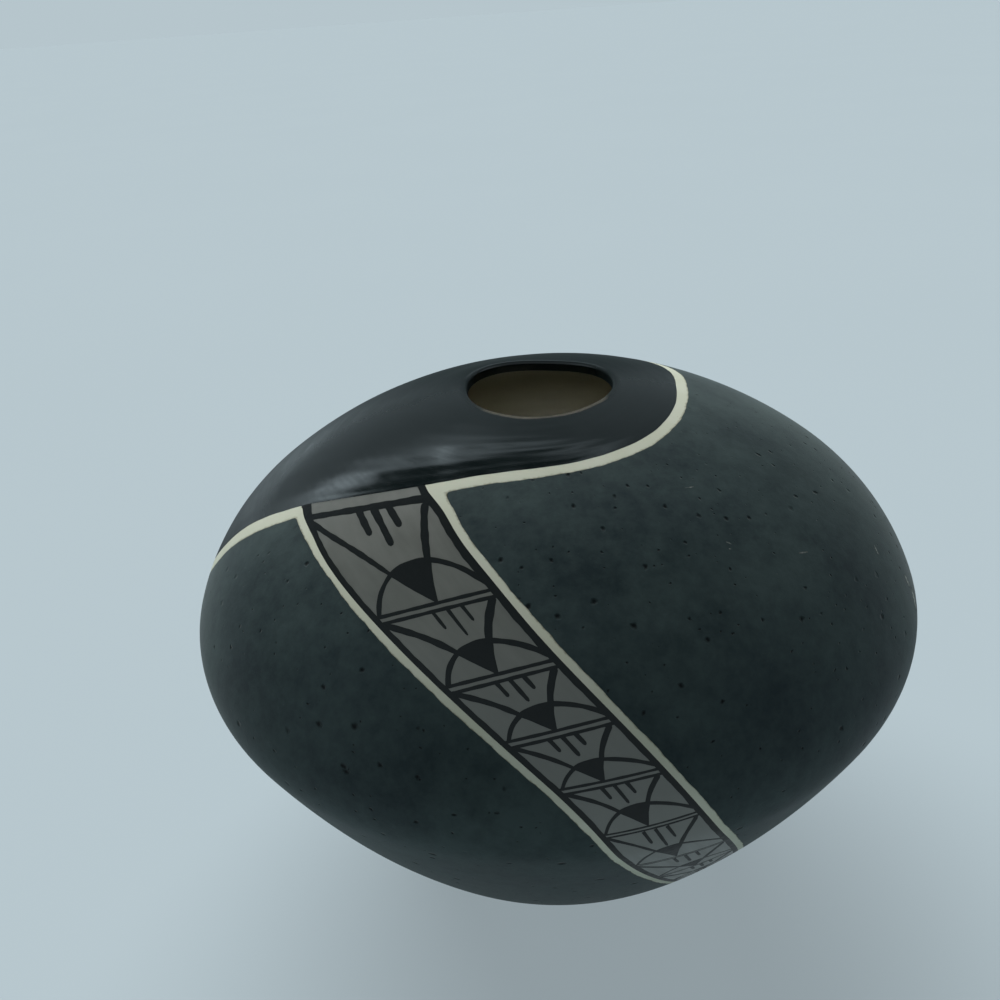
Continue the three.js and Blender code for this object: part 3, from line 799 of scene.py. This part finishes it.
def black_mineral_paint():
    """Black mineral paint from a thin brush: a dry satin black that thins to grey in small worn spots."""
    material, tree, shader, place = new_material("black_mineral_paint")
    dry = node(tree, "TexNoise", {"Vector": place, "Scale": per_metre(1.6), "Detail": 4, "Roughness": 0.65})
    thin = node(tree, "MapRange", {0: dry, 1: 0.6, 2: 0.75, 3: 0, 4: 0.6})
    tone = node(tree, "Mix", {0: thin, MIX_A: srgb("#0a0e0e"), MIX_B: srgb("#1b2020")}, data_type="RGBA")
    rough = node(tree, "MapRange", {0: dry, 1: 0.3, 2: 0.7, 3: 0.45, 4: 0.6})
    fill(tree, shader, {"Base Color": tone, "Roughness": rough, "Specular IOR Level": 0.32})
    return material


def chalky_scuff():
    """Slip rubbed thin: a patchy pale chalk where the clay shows, charcoal where it doesn't, fully
    matte."""
    material, tree, shader, place = new_material("chalky_scuff")
    chalk = node(tree, "Attribute", attribute_name="chalk").outputs["Fac"]
    patch = node(tree, "TexNoise", {"Vector": place, "Scale": per_metre(0.7), "Detail": 3})
    share = node(tree, "MapRange", {0: patch, 1: 0.35, 2: 0.6, 3: 0.1, 4: 1.4})
    bare = node(tree, "Math", {0: share, 1: chalk}, operation="MULTIPLY")
    tone = node(tree, "Mix", {0: bare, MIX_A: srgb("#2d3a3a"), MIX_B: srgb("#c9ccc4")}, data_type="RGBA")
    fill(tree, shader, {"Base Color": tone, "Roughness": 0.9})
    return material


def bare_earthenware():
    """Fired clay as it was scraped: pale buff and matte, with painted shade that darkens it high inside under
    the mouth, soft clouds and a fine gritty grain."""
    material, tree, shader, place = new_material("bare_fired_earthenware")
    cloud = node(tree, "TexNoise", {"Vector": place, "Scale": per_metre(22), "Detail": 5, "Roughness": 0.6})
    grit = node(tree, "TexNoise", {"Vector": place, "Scale": per_metre(0.9), "Detail": 4, "Roughness": 0.7})
    share = node(tree, "MapRange", {0: cloud, 1: 0.3, 2: 0.7, 3: 0, 4: 1})
    tone = node(tree, "Mix", {0: share, MIX_A: srgb("#eae8d6"), MIX_B: srgb("#f3f1e1")}, data_type="RGBA")
    # Painted shade: the clay darkens towards olive brown higher inside, under the dome and the mouth
    height = node(tree, "SeparateXYZ", {0: place}).outputs["Z"]
    painted_shade_high_inside = node(tree, "MapRange", {
        0: height, 1: 100 * MM, 2: 122 * MM, 3: 0, 4: 0.65}, interpolation_type="SMOOTHSTEP")
    shaded_clay = node(tree, "Mix", {0: painted_shade_high_inside, MIX_A: tone, MIX_B: srgb("#6c6a52")}, data_type="RGBA")
    specks = node(tree, "MapRange", {0: grit, 1: 0.6, 2: 0.75, 3: 0, 4: 0.3})
    gritty = node(tree, "Mix", {0: specks, MIX_A: shaded_clay, MIX_B: srgb("#8d8468")}, data_type="RGBA")
    rough = node(tree, "MapRange", {0: grit, 1: 0.3, 2: 0.7, 3: 0.75, 4: 0.92})
    tooth = node(tree, "Bump", {"Height": grit, "Strength": 0.5, "Distance": 0.15 * MM})
    fill(tree, shader, {"Base Color": gritty, "Roughness": rough, "Normal": tooth})
    return material


BLACK = burnished_black_slip()
CHARCOAL = matte_charcoal_slip()
CREAM = cream_slip()
GREY = satin_grey_slip()
PAINT = black_mineral_paint()
SCUFF = chalky_scuff()
CLAY = bare_earthenware()


# Slips


def around_flow(azimuth, down):
    """Pattern space for streaks that run round the vase: a circle for the azimuth, stretched down the
    wall."""
    turn = np.radians(azimuth)
    ring = FLOW_RADIUS * MM
    return np.stack([ring * np.cos(turn), ring * np.sin(turn), FLOW_STRETCH * down * MM], axis=-1)


def make_field():
    """The charcoal field: lines ruled from the pale line round the cap to the foot. Towards each end they
    lean more and more along the pale stroke there, by how far that stroke is from its own straight
    line."""
    columns, rows = FIELD_GRID
    top = evenly(cap_field, columns)
    left = evenly(right_field, rows)
    right = evenly(left_field, rows)
    start, end = top[0, 0], top[-1, 0]
    foot = np.interp(top[:, 0], [start, *FIELD_UPRIGHT, end], [left[-1, 0], *FIELD_UPRIGHT, right[-1, 0]])
    bottom = np.column_stack([foot, np.linspace(left[-1, 1], right[-1, 1], columns)])
    fall = np.linspace(0, 1, rows)[:, None]
    ruled = top[:, None] + (bottom - top)[:, None] * fall
    round_share = ((top[:, 0] - start) / (end - start))[:, None, None]
    by_left = ease(round_share, FIELD_LEAN[0], 0)
    by_right = ease(round_share, 1 - FIELD_LEAN[1], 1)
    grid = ruled + by_left * (left - ruled[0]) + by_right * (right - ruled[-1])
    azimuth, down = grid[..., 0], grid[..., 1]
    points, faces = shell(on_vase(azimuth, down, FIELD_FACE), on_vase(azimuth, down, COAT_BACK))
    values = {"skin": np.tile(laid_flat(azimuth, down), (2, 1))}
    add_piece("charcoal_coat", points, faces, [CHARCOAL], "charcoal_slip", ["charcoal_field"], values=values)


def laid_flat(azimuth, down):
    """The wall laid flat in metres: the azimuth as a length at a middling radius, and the way down."""
    flat = np.stack([np.radians(azimuth) * FLAT_RADIUS, down, np.zeros_like(down)], axis=-1)
    return flat.reshape(-1, 3) * MM


def polished(azimuth, down):
    """How well the stone polished the cap: fully in front, less behind the mouth and far down the cap's
    tail, but fully again on the far lip."""
    front = -np.sin(np.radians(azimuth))
    on_dome = ease(front, *POLISH_FRONT) * ease(down, *POLISH_LIP) * ease(down, *POLISH_TAIL)
    on_far_lip = ease(front, *FAR_LIP_FRONT) * ease(down, *FAR_LIP_DOWN)
    return np.maximum(on_dome, on_far_lip)


def facets(azimuth, share):
    """How far the polishing stone's facets dip in: three waves that follow the cap's outline at shares of
    the way from the lip to it, and wander slowly round, none along the lip and the outline."""
    turn = np.radians(azimuth)
    way = 2 * math.pi * share
    waves = sum(np.sin(down * way + count * turn + phase) for down, count, phase in FACET_WAVES)
    swell = FACET_SWELL * (0.5 + waves / (2 * len(FACET_WAVES)))
    return swell * ease(share, 0, FACET_FADE[0]) * ease(share, 1, FACET_FADE[1])


def make_cap():
    """The polished cap: at each azimuth it comes up inside the mouth, turns over the lip on a small
    circle, and runs down the dome to the edge of the pale line or of the band."""
    columns, rows = CAP_GRID
    band_top = straight(cap_near[-1], cap_near[0] + FULL_TURN, np.linspace(0, 1, BAND_TOP_POINTS))[1:-1]
    edge = np.vstack([evenly(cap_near, columns), band_top])
    share = np.linspace(0, 1, rows)
    azimuth = np.repeat(edge[:, :1], rows, axis=1)
    down = LIP_DOWN + (edge[:, 1:] - LIP_DOWN) * share
    lip_turn = np.linspace(math.pi, LIP_ANGLE, LIP_POINTS)[:-1]
    inside = np.linspace(SLIP_IN_MOUTH - LIP_ROUND, 0, MOUTH_POINTS)[:-1]
    centre = MOUTH_RADIUS + LIP_ROUND

    def lip(depth):
        reach = LIP_ROUND - depth
        radius = np.concatenate([np.full(len(inside), centre - reach), centre + reach * np.cos(lip_turn)])
        height = np.concatenate([LIP_HEIGHT - inside, LIP_HEIGHT + reach * np.sin(lip_turn)])
        return out_of_round(carried_round(radius, height, edge[:, :1]))

    face = np.concatenate([lip(CAP_FACE), on_vase(azimuth, down, CAP_FACE + facets(azimuth, share))], axis=1)
    back = np.concatenate([lip(COAT_BACK), on_vase(azimuth, down, COAT_BACK)], axis=1)
    points, faces = shell(face, back, ring=True)
    lip_count = len(inside) + len(lip_turn)
    all_down = np.concatenate([np.full((len(edge), lip_count), LIP_DOWN), down], axis=1)
    all_azimuth = np.repeat(edge[:, :1], lip_count + rows, axis=1)
    crest = np.sin(np.linspace(0, math.pi / 2, len(lip_turn)))
    on_lip = np.concatenate([np.zeros(len(inside)), crest])
    worn = np.hstack([np.tile(on_lip, (len(edge), 1)), ease(down, LIP_DOWN + WORN_REACH, LIP_DOWN)])
    worn = worn * ease(-np.sin(np.radians(all_azimuth)), *WORN_FRONT)
    values = {
        "flow": np.tile(around_flow(all_azimuth, all_down).reshape(-1, 3), (2, 1)),
        "worn": np.tile(worn.ravel(), 2),
        "polish": np.tile(polished(all_azimuth, all_down).ravel(), 2),
    }
    add_piece("polished_black_cap", points, faces, [BLACK], "polished_black_slip", ["polished_cap"],
              values=values)


def make_cream_line():
    """The pale line: a strip from its crisp edge to its wavering one, slightly crowned, up the right of
    the band, round the cap and down the left."""
    near = np.vstack([right_near[::-1], cap_near[1:], left_near[1:]])
    field = np.vstack([right_field[::-1], cap_field[1:], left_field[1:]])
    across = np.linspace(0, 1, LINE_ACROSS)
    grid = near[:, None] + (field - near)[:, None] * across[:, None]
    crown = LINE_FACE * (1 - LINE_CROWN + LINE_CROWN * (2 * across - 1) ** 4)
    azimuth, down = grid[..., 0], grid[..., 1]
    points, faces = shell(on_vase(azimuth, down, crown), on_vase(azimuth, down, COAT_BACK))
    values = {"across": np.tile(np.broadcast_to(across, azimuth.shape).ravel(), 2)}
    add_piece("cream_swirl_line", points, faces, [CREAM], "cream_slip", ["cream_line"], values=values)


def make_band():
    """The grey band: a ruled strip between the crisp edges of the two strokes beside it."""
    rows, columns = BAND_GRID
    left = evenly(left_near, rows) - FULL_TURN
    right = evenly(right_near, rows)
    share = np.broadcast_to(np.linspace(0, 1, columns), (rows, columns))
    grid = straight(left[:, None], right[:, None], share)
    azimuth, down = grid[..., 0], grid[..., 1]
    points, faces = shell(on_vase(azimuth, down, BAND_FACE), on_vase(azimuth, down, COAT_BACK))
    along = np.repeat(way_along(left)[:, None], columns, axis=1) * MM
    over = share * BAND_FLOW
    flow = np.tile(np.stack([along, over, np.zeros_like(along)], axis=-1).reshape(-1, 3), (2, 1))
    add_piece("grey_band_coat", points, faces, [GREY], "grey_slip", ["grey_band"], values={"flow": flow})


# Brushwork on the band


def inner_border(stroke, near_side, border):
    """The inner edge of the black border beside a pale stroke."""
    line = stroke[:, :2]
    width = np.interp(way_along(line), BORDER_FINER, border)
    return line + leftward(line) * (near_side * (stroke[:, 2] / 2 + width))[:, None]


left_inner = inner_border(left_stroke, 1, LEFT_BORDER) - FULL_TURN
right_inner = inner_border(right_stroke, -1, RIGHT_BORDER)


def on_panel(panel, points):
    """Places of (across, fall) points of a panel: both sides of the band are read at the azimuths that
    lie between the panel's two dividers, and joined on the straightest way across."""
    across, fall = np.array(points, float).T
    ends = DIVIDERS[panel] + (DIVIDERS[panel + 1] - DIVIDERS[panel]) * fall[:, None]
    left = np.column_stack([ends[:, 0], np.interp(ends[:, 0], left_inner[:, 0], left_inner[:, 1])])
    right = np.column_stack([ends[:, 1], np.interp(ends[:, 1], right_inner[:, 0], right_inner[:, 1])])
    return straight(left, right, across)


def leaning(points, lean, drop):
    """Points of a motif moved across and down by a lean and a drop that die away at the panel's edges."""
    across, fall = np.array(points, float).T
    leant = across + 4 * lean * across ** 2 * (1 - across)
    dropped = fall + 4 * drop * fall * (1 - fall)
    return np.column_stack([leant, dropped])


def film(grid, face):
    """A closed film over a grid of places, from a depth at its face, a little deeper along its edges, to
    its back."""
    azimuth, down = grid[..., 0], grid[..., 1]
    across = np.linspace(-1, 1, grid.shape[1])
    return shell(on_vase(azimuth, down, face + FILM_EDGE * across ** 4), on_vase(azimuth, down, PAINT_BACK))


def brush(line, width, seed, taper=EVEN, blunt_start=True, blunt_end=True, face=PAINT_FACE):
    """One brush stroke along a line: its half width wavers, follows a taper, and closes on a half circle
    at each end that isn't blunt."""
    length = way_along(line)[-1]
    count = max(int(length / BRUSH_STEP), BRUSH_LEAST)
    line = evenly(line, count)
    along = way_along(line)
    half = width / 2 * (1 + unsteady(along, BRUSH_WAVES, seed)) * np.interp(along / length, *zip(*taper))
    start = np.ones(count) if blunt_start else np.clip(along / half, BRUSH_TIP, 1)
    end = np.ones(count) if blunt_end else np.clip((length - along) / half, BRUSH_TIP, 1)
    half = half * np.sqrt(1 - (1 - start) ** 2) * np.sqrt(1 - (1 - end) ** 2)
    side = leftward(line) * half[:, None]
    layer = seed % PAINT_LAYERS * LAYER_STEP
    return film(line[:, None] + side[:, None] * ACROSS_FILM[:, None], face - layer)


def border(stroke, side, width, top_lap, seed):
    """A black border beside a pale stroke: from a lap over its edge, which is wider at the top, to its
    own inner edge, and from under the cap, where it is sunk, to the foot."""
    first = stroke[LEAVE_STEPS] - stroke[0]
    ahead = stroke[0] - first / way_along(stroke[:LEAVE_STEPS + 1, :2])[-1] * BORDER_LEAD
    ahead[2] = stroke[0, 2]
    lead = np.linspace(ahead, stroke[0], LEAD_POINTS)[:-1]
    line = evenly(np.vstack([lead, stroke]), BORDER_POINTS)
    line = line[line[:, 1] < COAT_END]
    along = way_along(line[:, :2])
    lap = BORDER_LAP + (top_lap - BORDER_LAP) * (1 - ease(along, BORDER_LEAD, BORDER_LEAD + LAP_REACH))
    outer = line[:, 2] / 2 - lap
    wide = np.interp(along - BORDER_LEAD, BORDER_FINER, width)
    inner = line[:, 2] / 2 + wide * (1 + unsteady(along, BRUSH_WAVES, seed) / 2)
    offset = outer[:, None] + (inner - outer)[:, None] * (1 + ACROSS_FILM) / 2
    grid = line[:, None, :2] + leftward(line[:, :2])[:, None] * (side * offset)[..., None]
    past_ends = np.linspace(-PAST_ENDS, 1 + PAST_ENDS, CROSS_POINTS)
    cap_edge = straight(cap_near[-1], cap_near[0] + FULL_TURN, past_ends)
    covered = np.interp(grid[..., 0] % 360, cap_edge[:, 0], cap_edge[:, 1]) - grid[..., 1]
    return film(grid, BORDER_FACE + BORDER_SINK * ease(covered, *SINK_REACH))


def cross_line(row, offset, width, seed, taper=EVEN):
    """A line across the band: a divider moved down by an offset, whose ends run along the borders."""
    across = np.linspace(-LINE_LAP, 1 + LINE_LAP, CROSS_POINTS)
    middle = on_panel(row, np.column_stack([across, np.zeros(CROSS_POINTS)]))
    below = on_panel(row, np.column_stack([across, np.full(CROSS_POINTS, BELOW_LINE)])) - middle
    radius = wall(middle[:, 1], 0)[0]
    left = leftward(middle)
    fall = np.radians(below[:, 0]) * radius * np.radians(left[:, 0]) * radius + below[:, 1] * left[:, 1]
    step = below / np.abs(fall)[:, None]
    along = way_along(middle)
    wide = width * (1 + unsteady(along, BRUSH_WAVES, seed)) * np.interp(across, *zip(*taper))
    moved = offset + wide[:, None] / 2 * ACROSS_FILM
    return film(middle[:, None] + step[:, None] * moved[..., None], PAINT_FACE)


def line_strokes():
    """The line along the band's top, and two thin lines at every divider below it."""
    yield cross_line(0, 0, TOP_LINE, TOP_LINE_SEED, TOP_TAPER)
    for row in range(1, len(DIVIDERS) - 1):
        size = 1 - DIVIDER_FINER * (min(row, DIVIDER_FINEST) - 1)
        for side in (-1, 1):
            offset = side * size * (DIVIDER_LINE + DIVIDER_GAP) / 2
            yield cross_line(row, offset, size * DIVIDER_LINE, DIVIDER_SEED + 2 * row + side)


def panel_strokes(panel, ray_width, hang_width, lean, drop, hang_shift):
    """One panel: two rays to the apex, an arch over them, the wedge between them filled below the arch,
    and three short strokes that hang from the line above and thin out."""
    seed = PANEL_SEED + PANEL_SEEDS * panel
    arch, *rays = (
        smooth_stroke(on_panel(panel, leaning(path, lean, drop)), MOTIF_POINTS)
        for path in (ARCH, LEFT_RAY, RIGHT_RAY)
    )
    yield brush(arch, ray_width * ARCH_SHARE, seed)
    for i, ray in enumerate(rays):
        yield brush(ray, ray_width * RAY_SHARES[i], seed + 1 + i, RAY_TAPER, blunt_start=False)
    first, last = (np.argmin(np.linalg.norm(arch[:, None] - ray[None], axis=2).min(axis=1)) for ray in rays)
    rim = evenly(arch[first:last + 1], WEDGE_GRID[0])
    inward = np.linspace(0, WEDGE_DEPTH, WEDGE_GRID[1])
    wedge = rim[:, None] + (rays[0][-1] - rim)[:, None] * inward[:, None]
    yield film(wedge.transpose(1, 0, 2), PAINT_FACE - WEDGE_OVER)
    for i, (start, end, fall) in enumerate(HANGING):
        hang_from = HANG_FROM[min(panel, 1)]
        ends = (start + hang_shift, hang_from), (end + hang_shift, fall)
        line = on_panel(panel, np.linspace(*ends, HANG_POINTS))
        yield brush(line, hang_width, seed + HANG_SEED + i, SHORT_TAPER, blunt_end=False)


def joined(shells):
    """Points and faces of several shells as one mesh."""
    all_points, all_faces = zip(*shells)
    starts = np.cumsum([0] + [len(points) for points in all_points[:-1]])
    shifted = [faces + start for faces, start in zip(all_faces, starts)]
    return np.concatenate(all_points), np.concatenate(shifted)


def make_brushwork():
    """All the black strokes as one piece of paint film."""
    strokes = [
        border(left_stroke, 1, LEFT_BORDER, LEFT_BORDER_LAP, BORDER_SEED),
        border(right_stroke, -1, RIGHT_BORDER, BORDER_LAP, BORDER_SEED + 1),
        *line_strokes(),
    ]
    for panel, row in enumerate(PANELS):
        strokes += panel_strokes(panel, *row)
    add_piece("band_brushwork", *joined(strokes), [PAINT], "polished_black_slip")


def make_scuffs():
    """The pale scuffs as thin chalky films on the field, whose chalk fades out along and across each."""
    films, chalks = [], []
    for i, (start, end, width, chalk) in enumerate(SCUFFS):
        line = np.linspace(start, end, SCUFF_POINTS)
        points, faces = brush(
            line, width, SCUFF_SEED + i, blunt_start=False, blunt_end=False, face=FIELD_FACE)
        rows = len(points) // (2 * len(ACROSS_FILM))
        fade = np.sin(np.linspace(0, math.pi, rows))[:, None] * (1 - ACROSS_FILM ** 2)
        films.append((points, faces))
        chalks.append(np.tile(chalk * fade.ravel(), 2))
    add_piece("pale_scuffs", *joined(films), [SCUFF], "clay", values={"chalk": np.concatenate(chalks)})


# Clay


def wall_line(start, end, depth, count):
    """Points of the wall's outline at a depth, from one way down to another."""
    down = np.linspace(start, end, count)
    return np.column_stack(wall(down, depth))


def scraped_line(start, end, count):
    """The inner face of the wall, with shallow rings where it was scraped smooth."""
    down = np.linspace(start, end, count)
    sway = SCRAPE_SWAY[0] * np.sin(down / SCRAPE_SWAY[1])
    rings = SCRAPE_DEPTH * (0.5 + 0.5 * np.sin(2 * math.pi * down / SCRAPE_PITCH + sway))
    return np.column_stack(wall(down, CLAY_IN - rings))


def make_wall(name, node_name, out_start, out_end, in_start, in_end):
    """One course of the wall: its outer face going down and its scraped inner face coming up, carried
    round."""
    outer = wall_line(out_start, out_end, CLAY_OUT, WALL_POINTS)
    inner = scraped_line(in_end, in_start, WALL_POINTS)
    points, faces = turned(np.vstack([outer, inner]), WALL_SIDES)
    add_piece(name, points, faces, [CLAY], "clay", [node_name])


def make_walls():
    """The four courses of the wall, closed on each other at their seams."""
    rim = MOUTH_RADIUS + RIM_WIDTH
    flank_top = BELLY_HEIGHT * FLANK_SHARE
    rim_downs = down_on_dome(rim, CLAY_OUT), down_on_dome(rim, CLAY_IN)
    flank_downs = down_on_flank(flank_top, CLAY_OUT), down_on_flank(flank_top, CLAY_IN)
    foot_downs = down_on_flank(BASE_THICKNESS, CLAY_OUT), down_on_flank(BASE_THICKNESS, CLAY_IN)
    make_wall("dome_course", "dome_wall", rim_downs[0], SHOULDER_DOWN, rim_downs[1], SHOULDER_DOWN)
    make_wall("shoulder_course", "shoulder_wall", SHOULDER_DOWN, BELLY_DOWN, SHOULDER_DOWN, BELLY_DOWN)
    make_wall("belly_course", "belly_wall", BELLY_DOWN, flank_downs[0], BELLY_DOWN, flank_downs[1])
    make_wall("flank_course", "flank_wall", flank_downs[0], foot_downs[0], flank_downs[1], foot_downs[1])


def make_rim():
    """The rim coil under the slip: over the lip, along the dome, and back below it, cut away under the
    slip's end."""
    rim = MOUTH_RADIUS + RIM_WIDTH
    centre = MOUTH_RADIUS + LIP_ROUND
    bare = MOUTH_RADIUS + RIM_BARE
    slip_end = LIP_HEIGHT - SLIP_IN_MOUTH + LIP_ROUND
    over = np.linspace(math.pi, LIP_ANGLE, RIM_POINTS)
    reach = LIP_ROUND - CLAY_OUT
    lip = np.column_stack([centre + reach * np.cos(over), LIP_HEIGHT + reach * np.sin(over)])
    step = np.array([(bare, slip_end), (centre - reach, slip_end)])
    top = wall_line(LIP_DOWN, down_on_dome(rim, CLAY_OUT), CLAY_OUT, RIM_POINTS)[1:]
    under = wall_line(down_on_dome(rim, CLAY_IN), down_on_dome(rim - RIM_UNDER, CLAY_IN), CLAY_IN, 3)
    profile = np.vstack([step, lip, top, under])
    points, faces = turned(profile, WALL_SIDES)
    add_piece("rim_coil", points, faces, [CLAY], "polished_black_slip", ["mouth_rim"])


def make_base():
    """The base pad: a square grid whose nested squares are drawn out to rings, by turning each point
    through a share of 45 degrees equal to the ratio of its smaller to its larger coordinate. Its
    underside is slightly hollow, its edge rounded and its side on the line of the flank. Its face is the
    underside and side, its back the vase's floor."""
    line = np.linspace(-1, 1, BASE_GRID)
    u, v = np.meshgrid(line, line, indexing="ij")
    wide = np.abs(u) >= np.abs(v)
    larger = np.where(wide, u, v)
    slope = math.pi / 4 * np.where(wide, v, u) / np.where(larger == 0, 1, larger)
    x = larger * np.where(wide, np.cos(slope), np.sin(slope))
    y = larger * np.where(wide, np.sin(slope), np.cos(slope))
    share = np.abs(larger)
    turn = np.arctan2(y, x)
    flat = BASE_RADIUS - BASE_EDGE
    side_downs = np.linspace(down_on_flank(BASE_EDGE, 0), FOOT_DOWN, EDGE_POINTS)
    side = np.column_stack(wall(side_downs, 0))
    round_turn = np.linspace(0, 1, EDGE_POINTS)[1:-1, None]
    corner = np.array([BASE_RADIUS, 0])
    edge = (1 - round_turn) ** 2 * np.array([flat, 0]) + 2 * round_turn * (1 - round_turn) * corner
    edge = edge + round_turn ** 2 * side[0]
    under_radius = np.linspace(0, flat, UNDER_POINTS)
    rise = 1 - ease(under_radius, HOLLOW_REACH[1] * flat, HOLLOW_REACH[0] * flat)
    under = np.column_stack([under_radius, BASE_HOLLOW * rise])
    profile = np.vstack([under, edge, side])
    measure = np.linspace(0, 1, len(profile))
    radius = np.interp(share, measure, profile[:, 0])
    height = np.interp(share, measure, profile[:, 1])
    face = np.stack([radius * np.cos(turn), radius * np.sin(turn), height], axis=-1)
    floor_radius = share * side[-1, 0]
    level = np.full_like(share, BASE_THICKNESS)
    back = np.stack([floor_radius * np.cos(turn), floor_radius * np.sin(turn), level], axis=-1)
    points, faces = shell(face, back)
    middle = points[faces].mean(axis=1)
    out = np.hypot(middle[:, 0], middle[:, 1])
    below_floor = middle[:, 2] < BASE_THICKNESS - LEVEL_SLACK
    slipped = (out > flat - SLIP_UNDER) & below_floor | (out > side[-1, 0] - SLIP_OVER)
    add_piece("base_pad_clay", points, faces, [CLAY, CHARCOAL], "charcoal_slip", ["base_pad"],
              finish=slipped.astype(np.int32), values={"skin": points * MM})


make_field()
make_cap()
make_cream_line()
make_band()
make_brushwork()
make_scuffs()
make_walls()
make_rim()
make_base()


# Floor, light and camera


def ray_kinds(tree):
    """Whether a ray comes straight from the camera, and whether it comes off a shiny face or through a
    clear one."""
    path = node(tree, "LightPath")
    mirrored = node(tree, "Math", {
        0: path.outputs["Is Glossy Ray"], 1: path.outputs["Is Transmission Ray"]}, operation="MAXIMUM")
    return path.outputs["Is Camera Ray"], mirrored


def make_floor():
    """A wide level table top, plain and pale, with a barely seen cloudiness. It takes the vase's shadow."""
    mesh = bpy.data.meshes.new("floor")
    r = FLOOR_REACH
    mesh.from_pydata([(-r, -r, 0), (r, -r, 0), (r, r, 0), (-r, r, 0)], [], [(0, 1, 2, 3)])
    material, tree, shader, place = new_material("pale_table_top")
    cloud = node(tree, "TexNoise", {"Vector": place, "Scale": per_metre(300), "Detail": 2})
    tone = node(tree, "Mix", {0: cloud, MIX_A: srgb("#abbac0"), MIX_B: srgb("#afbec4")}, data_type="RGBA")
    fill(tree, shader, {"Base Color": tone, "Roughness": 0.9, "Specular IOR Level": 0.1})
    glow = node(tree, "Emission", {"Color": srgb(FLOOR_COLOUR), "Strength": 1})
    from_camera, mirrored = ray_kinds(tree)
    looked = node(tree, "Math", {0: from_camera, 1: mirrored}, operation="MAXIMUM")
    seen = node(tree, "Math", {0: looked, 1: FLOOR_GLOW}, operation="MULTIPLY")
    both = node(tree, "MixShader", {0: seen, 1: shader, 2: glow})
    fill(tree, tree.nodes["Material Output"], {"Surface": both})
    mesh.materials.append(material)
    floor = bpy.data.objects.new("floor", mesh)
    bpy.context.collection.objects.link(floor)


def mirrored_level(tree):
    """How bright each direction is to polished faces: a screen behind the vase from its tilted foot up,
    brighter in a strip along the foot and in a window on the left, a dim room in front and beside, and
    two panes along the foot."""
    way = node(tree, "SeparateXYZ", {0: node(tree, "TexCoord").outputs["Generated"]})
    x, y = way.outputs["X"], way.outputs["Y"]
    measures = {
        "x": x,
        "y": y,
        "across": node(tree, "Math", {0: x}, operation="ABSOLUTE"),
        "slant": node(tree, "Math", {0: x, 1: SCREEN_TILT, 2: y}, operation="MULTIPLY_ADD"),
    }
    ramps = {}
    for name, (measure, *steps) in MIRROR_RAMPS.items():
        sockets = dict(enumerate([measures[measure], *steps]))
        ramps[name] = node(tree, "MapRange", sockets, interpolation_type="SMOOTHSTEP")
    sides = node(tree, "Math", {0: ramps["window_right"], 1: ramps["window_left"]}, operation="MULTIPLY")
    window = node(tree, "Math", {0: sides, 1: ramps["window_top"]}, operation="MULTIPLY")
    bright = node(tree, "Math", {0: window, 1: WINDOW_SEEN, 2: ramps["foot_strip"]}, operation="MULTIPLY_ADD")
    room = node(tree, "Math", {
        0: ramps["beside"], 1: ramps["not_behind"], 2: ramps["front"]}, operation="MULTIPLY_ADD")
    level = node(tree, "Math", {0: ramps["screen_foot"], 1: bright, 2: room}, operation="MULTIPLY_ADD")
    pane_height = node(tree, "Math", {0: ramps["pane_foot"], 1: ramps["pane_top"]}, operation="MULTIPLY")
    for middle, half, strength in WINDOW_PANES:
        off = node(tree, "Math", {0: x, 1: middle}, operation="SUBTRACT")
        apart = node(tree, "Math", {0: off}, operation="ABSOLUTE")
        pane = node(tree, "MapRange", {
            0: apart, 1: half, 2: half / 2, 3: 0, 4: strength}, interpolation_type="SMOOTHSTEP")
        level = node(tree, "Math", {0: pane, 1: pane_height, 2: level}, operation="MULTIPLY_ADD")
    return level


def make_room():
    """A dim even room, which the camera sees as a plain pale wall and polished faces see as a screen and
    its room."""
    world = bpy.data.worlds.new("pale_room")
    world.use_nodes = True
    tree = world.node_tree
    tree.nodes.clear()
    from_camera, mirrored = ray_kinds(tree)
    room = node(tree, "Background", {"Color": srgb("#eef2f4"), "Strength": ROOM_LIGHT})
    screen = node(tree, "Background", {"Color": srgb("#d3e5ed"), "Strength": mirrored_level(tree)})
    wall_seen = node(tree, "Background", {"Color": srgb(FLOOR_COLOUR), "Strength": ROOM_SEEN})
    lit = node(tree, "MixShader", {0: mirrored, 1: room, 2: screen})
    both = node(tree, "MixShader", {0: from_camera, 1: lit, 2: wall_seen})
    node(tree, "OutputWorld", {"Surface": both})
    bpy.context.scene.world = world


def posed(right, up, back, place):
    """A matrix from an object's own axes and its place."""
    columns = np.eye(4)
    columns[:3] = np.column_stack([right, up, back, place])
    return Matrix(columns.tolist())


def make_lamps():
    """A very wide soft lamp from above and behind, and a weak one beside the camera. Neither is
    mirrored."""
    for name, (place, power, spread) in LAMPS.items():
        lamp = bpy.data.lights.new(name, "SUN")
        lamp.energy = power
        lamp.angle = math.radians(spread)
        holder = bpy.data.objects.new(name, lamp)
        holder.visible_glossy = False
        back = np.array(place) / np.linalg.norm(place)
        right = np.cross([0, 0, 1], back)
        right = right / np.linalg.norm(right)
        holder.matrix_world = posed(right, np.cross(back, right), back, place)
        bpy.context.collection.objects.link(holder)


def make_camera():
    """The photograph's view."""
    camera = bpy.data.cameras.new("camera")
    camera.lens = LENS
    camera.sensor_width = SENSOR
    camera.clip_start, camera.clip_end = CLIP
    holder = bpy.data.objects.new("camera", camera)
    holder.matrix_world = posed(CAMERA_RIGHT, CAMERA_UP, CAMERA_BACK, CAMERA_PLACE)
    bpy.context.collection.objects.link(holder)
    bpy.context.scene.camera = holder


make_floor()
make_room()
make_lamps()
make_camera()
bpy.context.scene.view_settings.view_transform = "Standard"
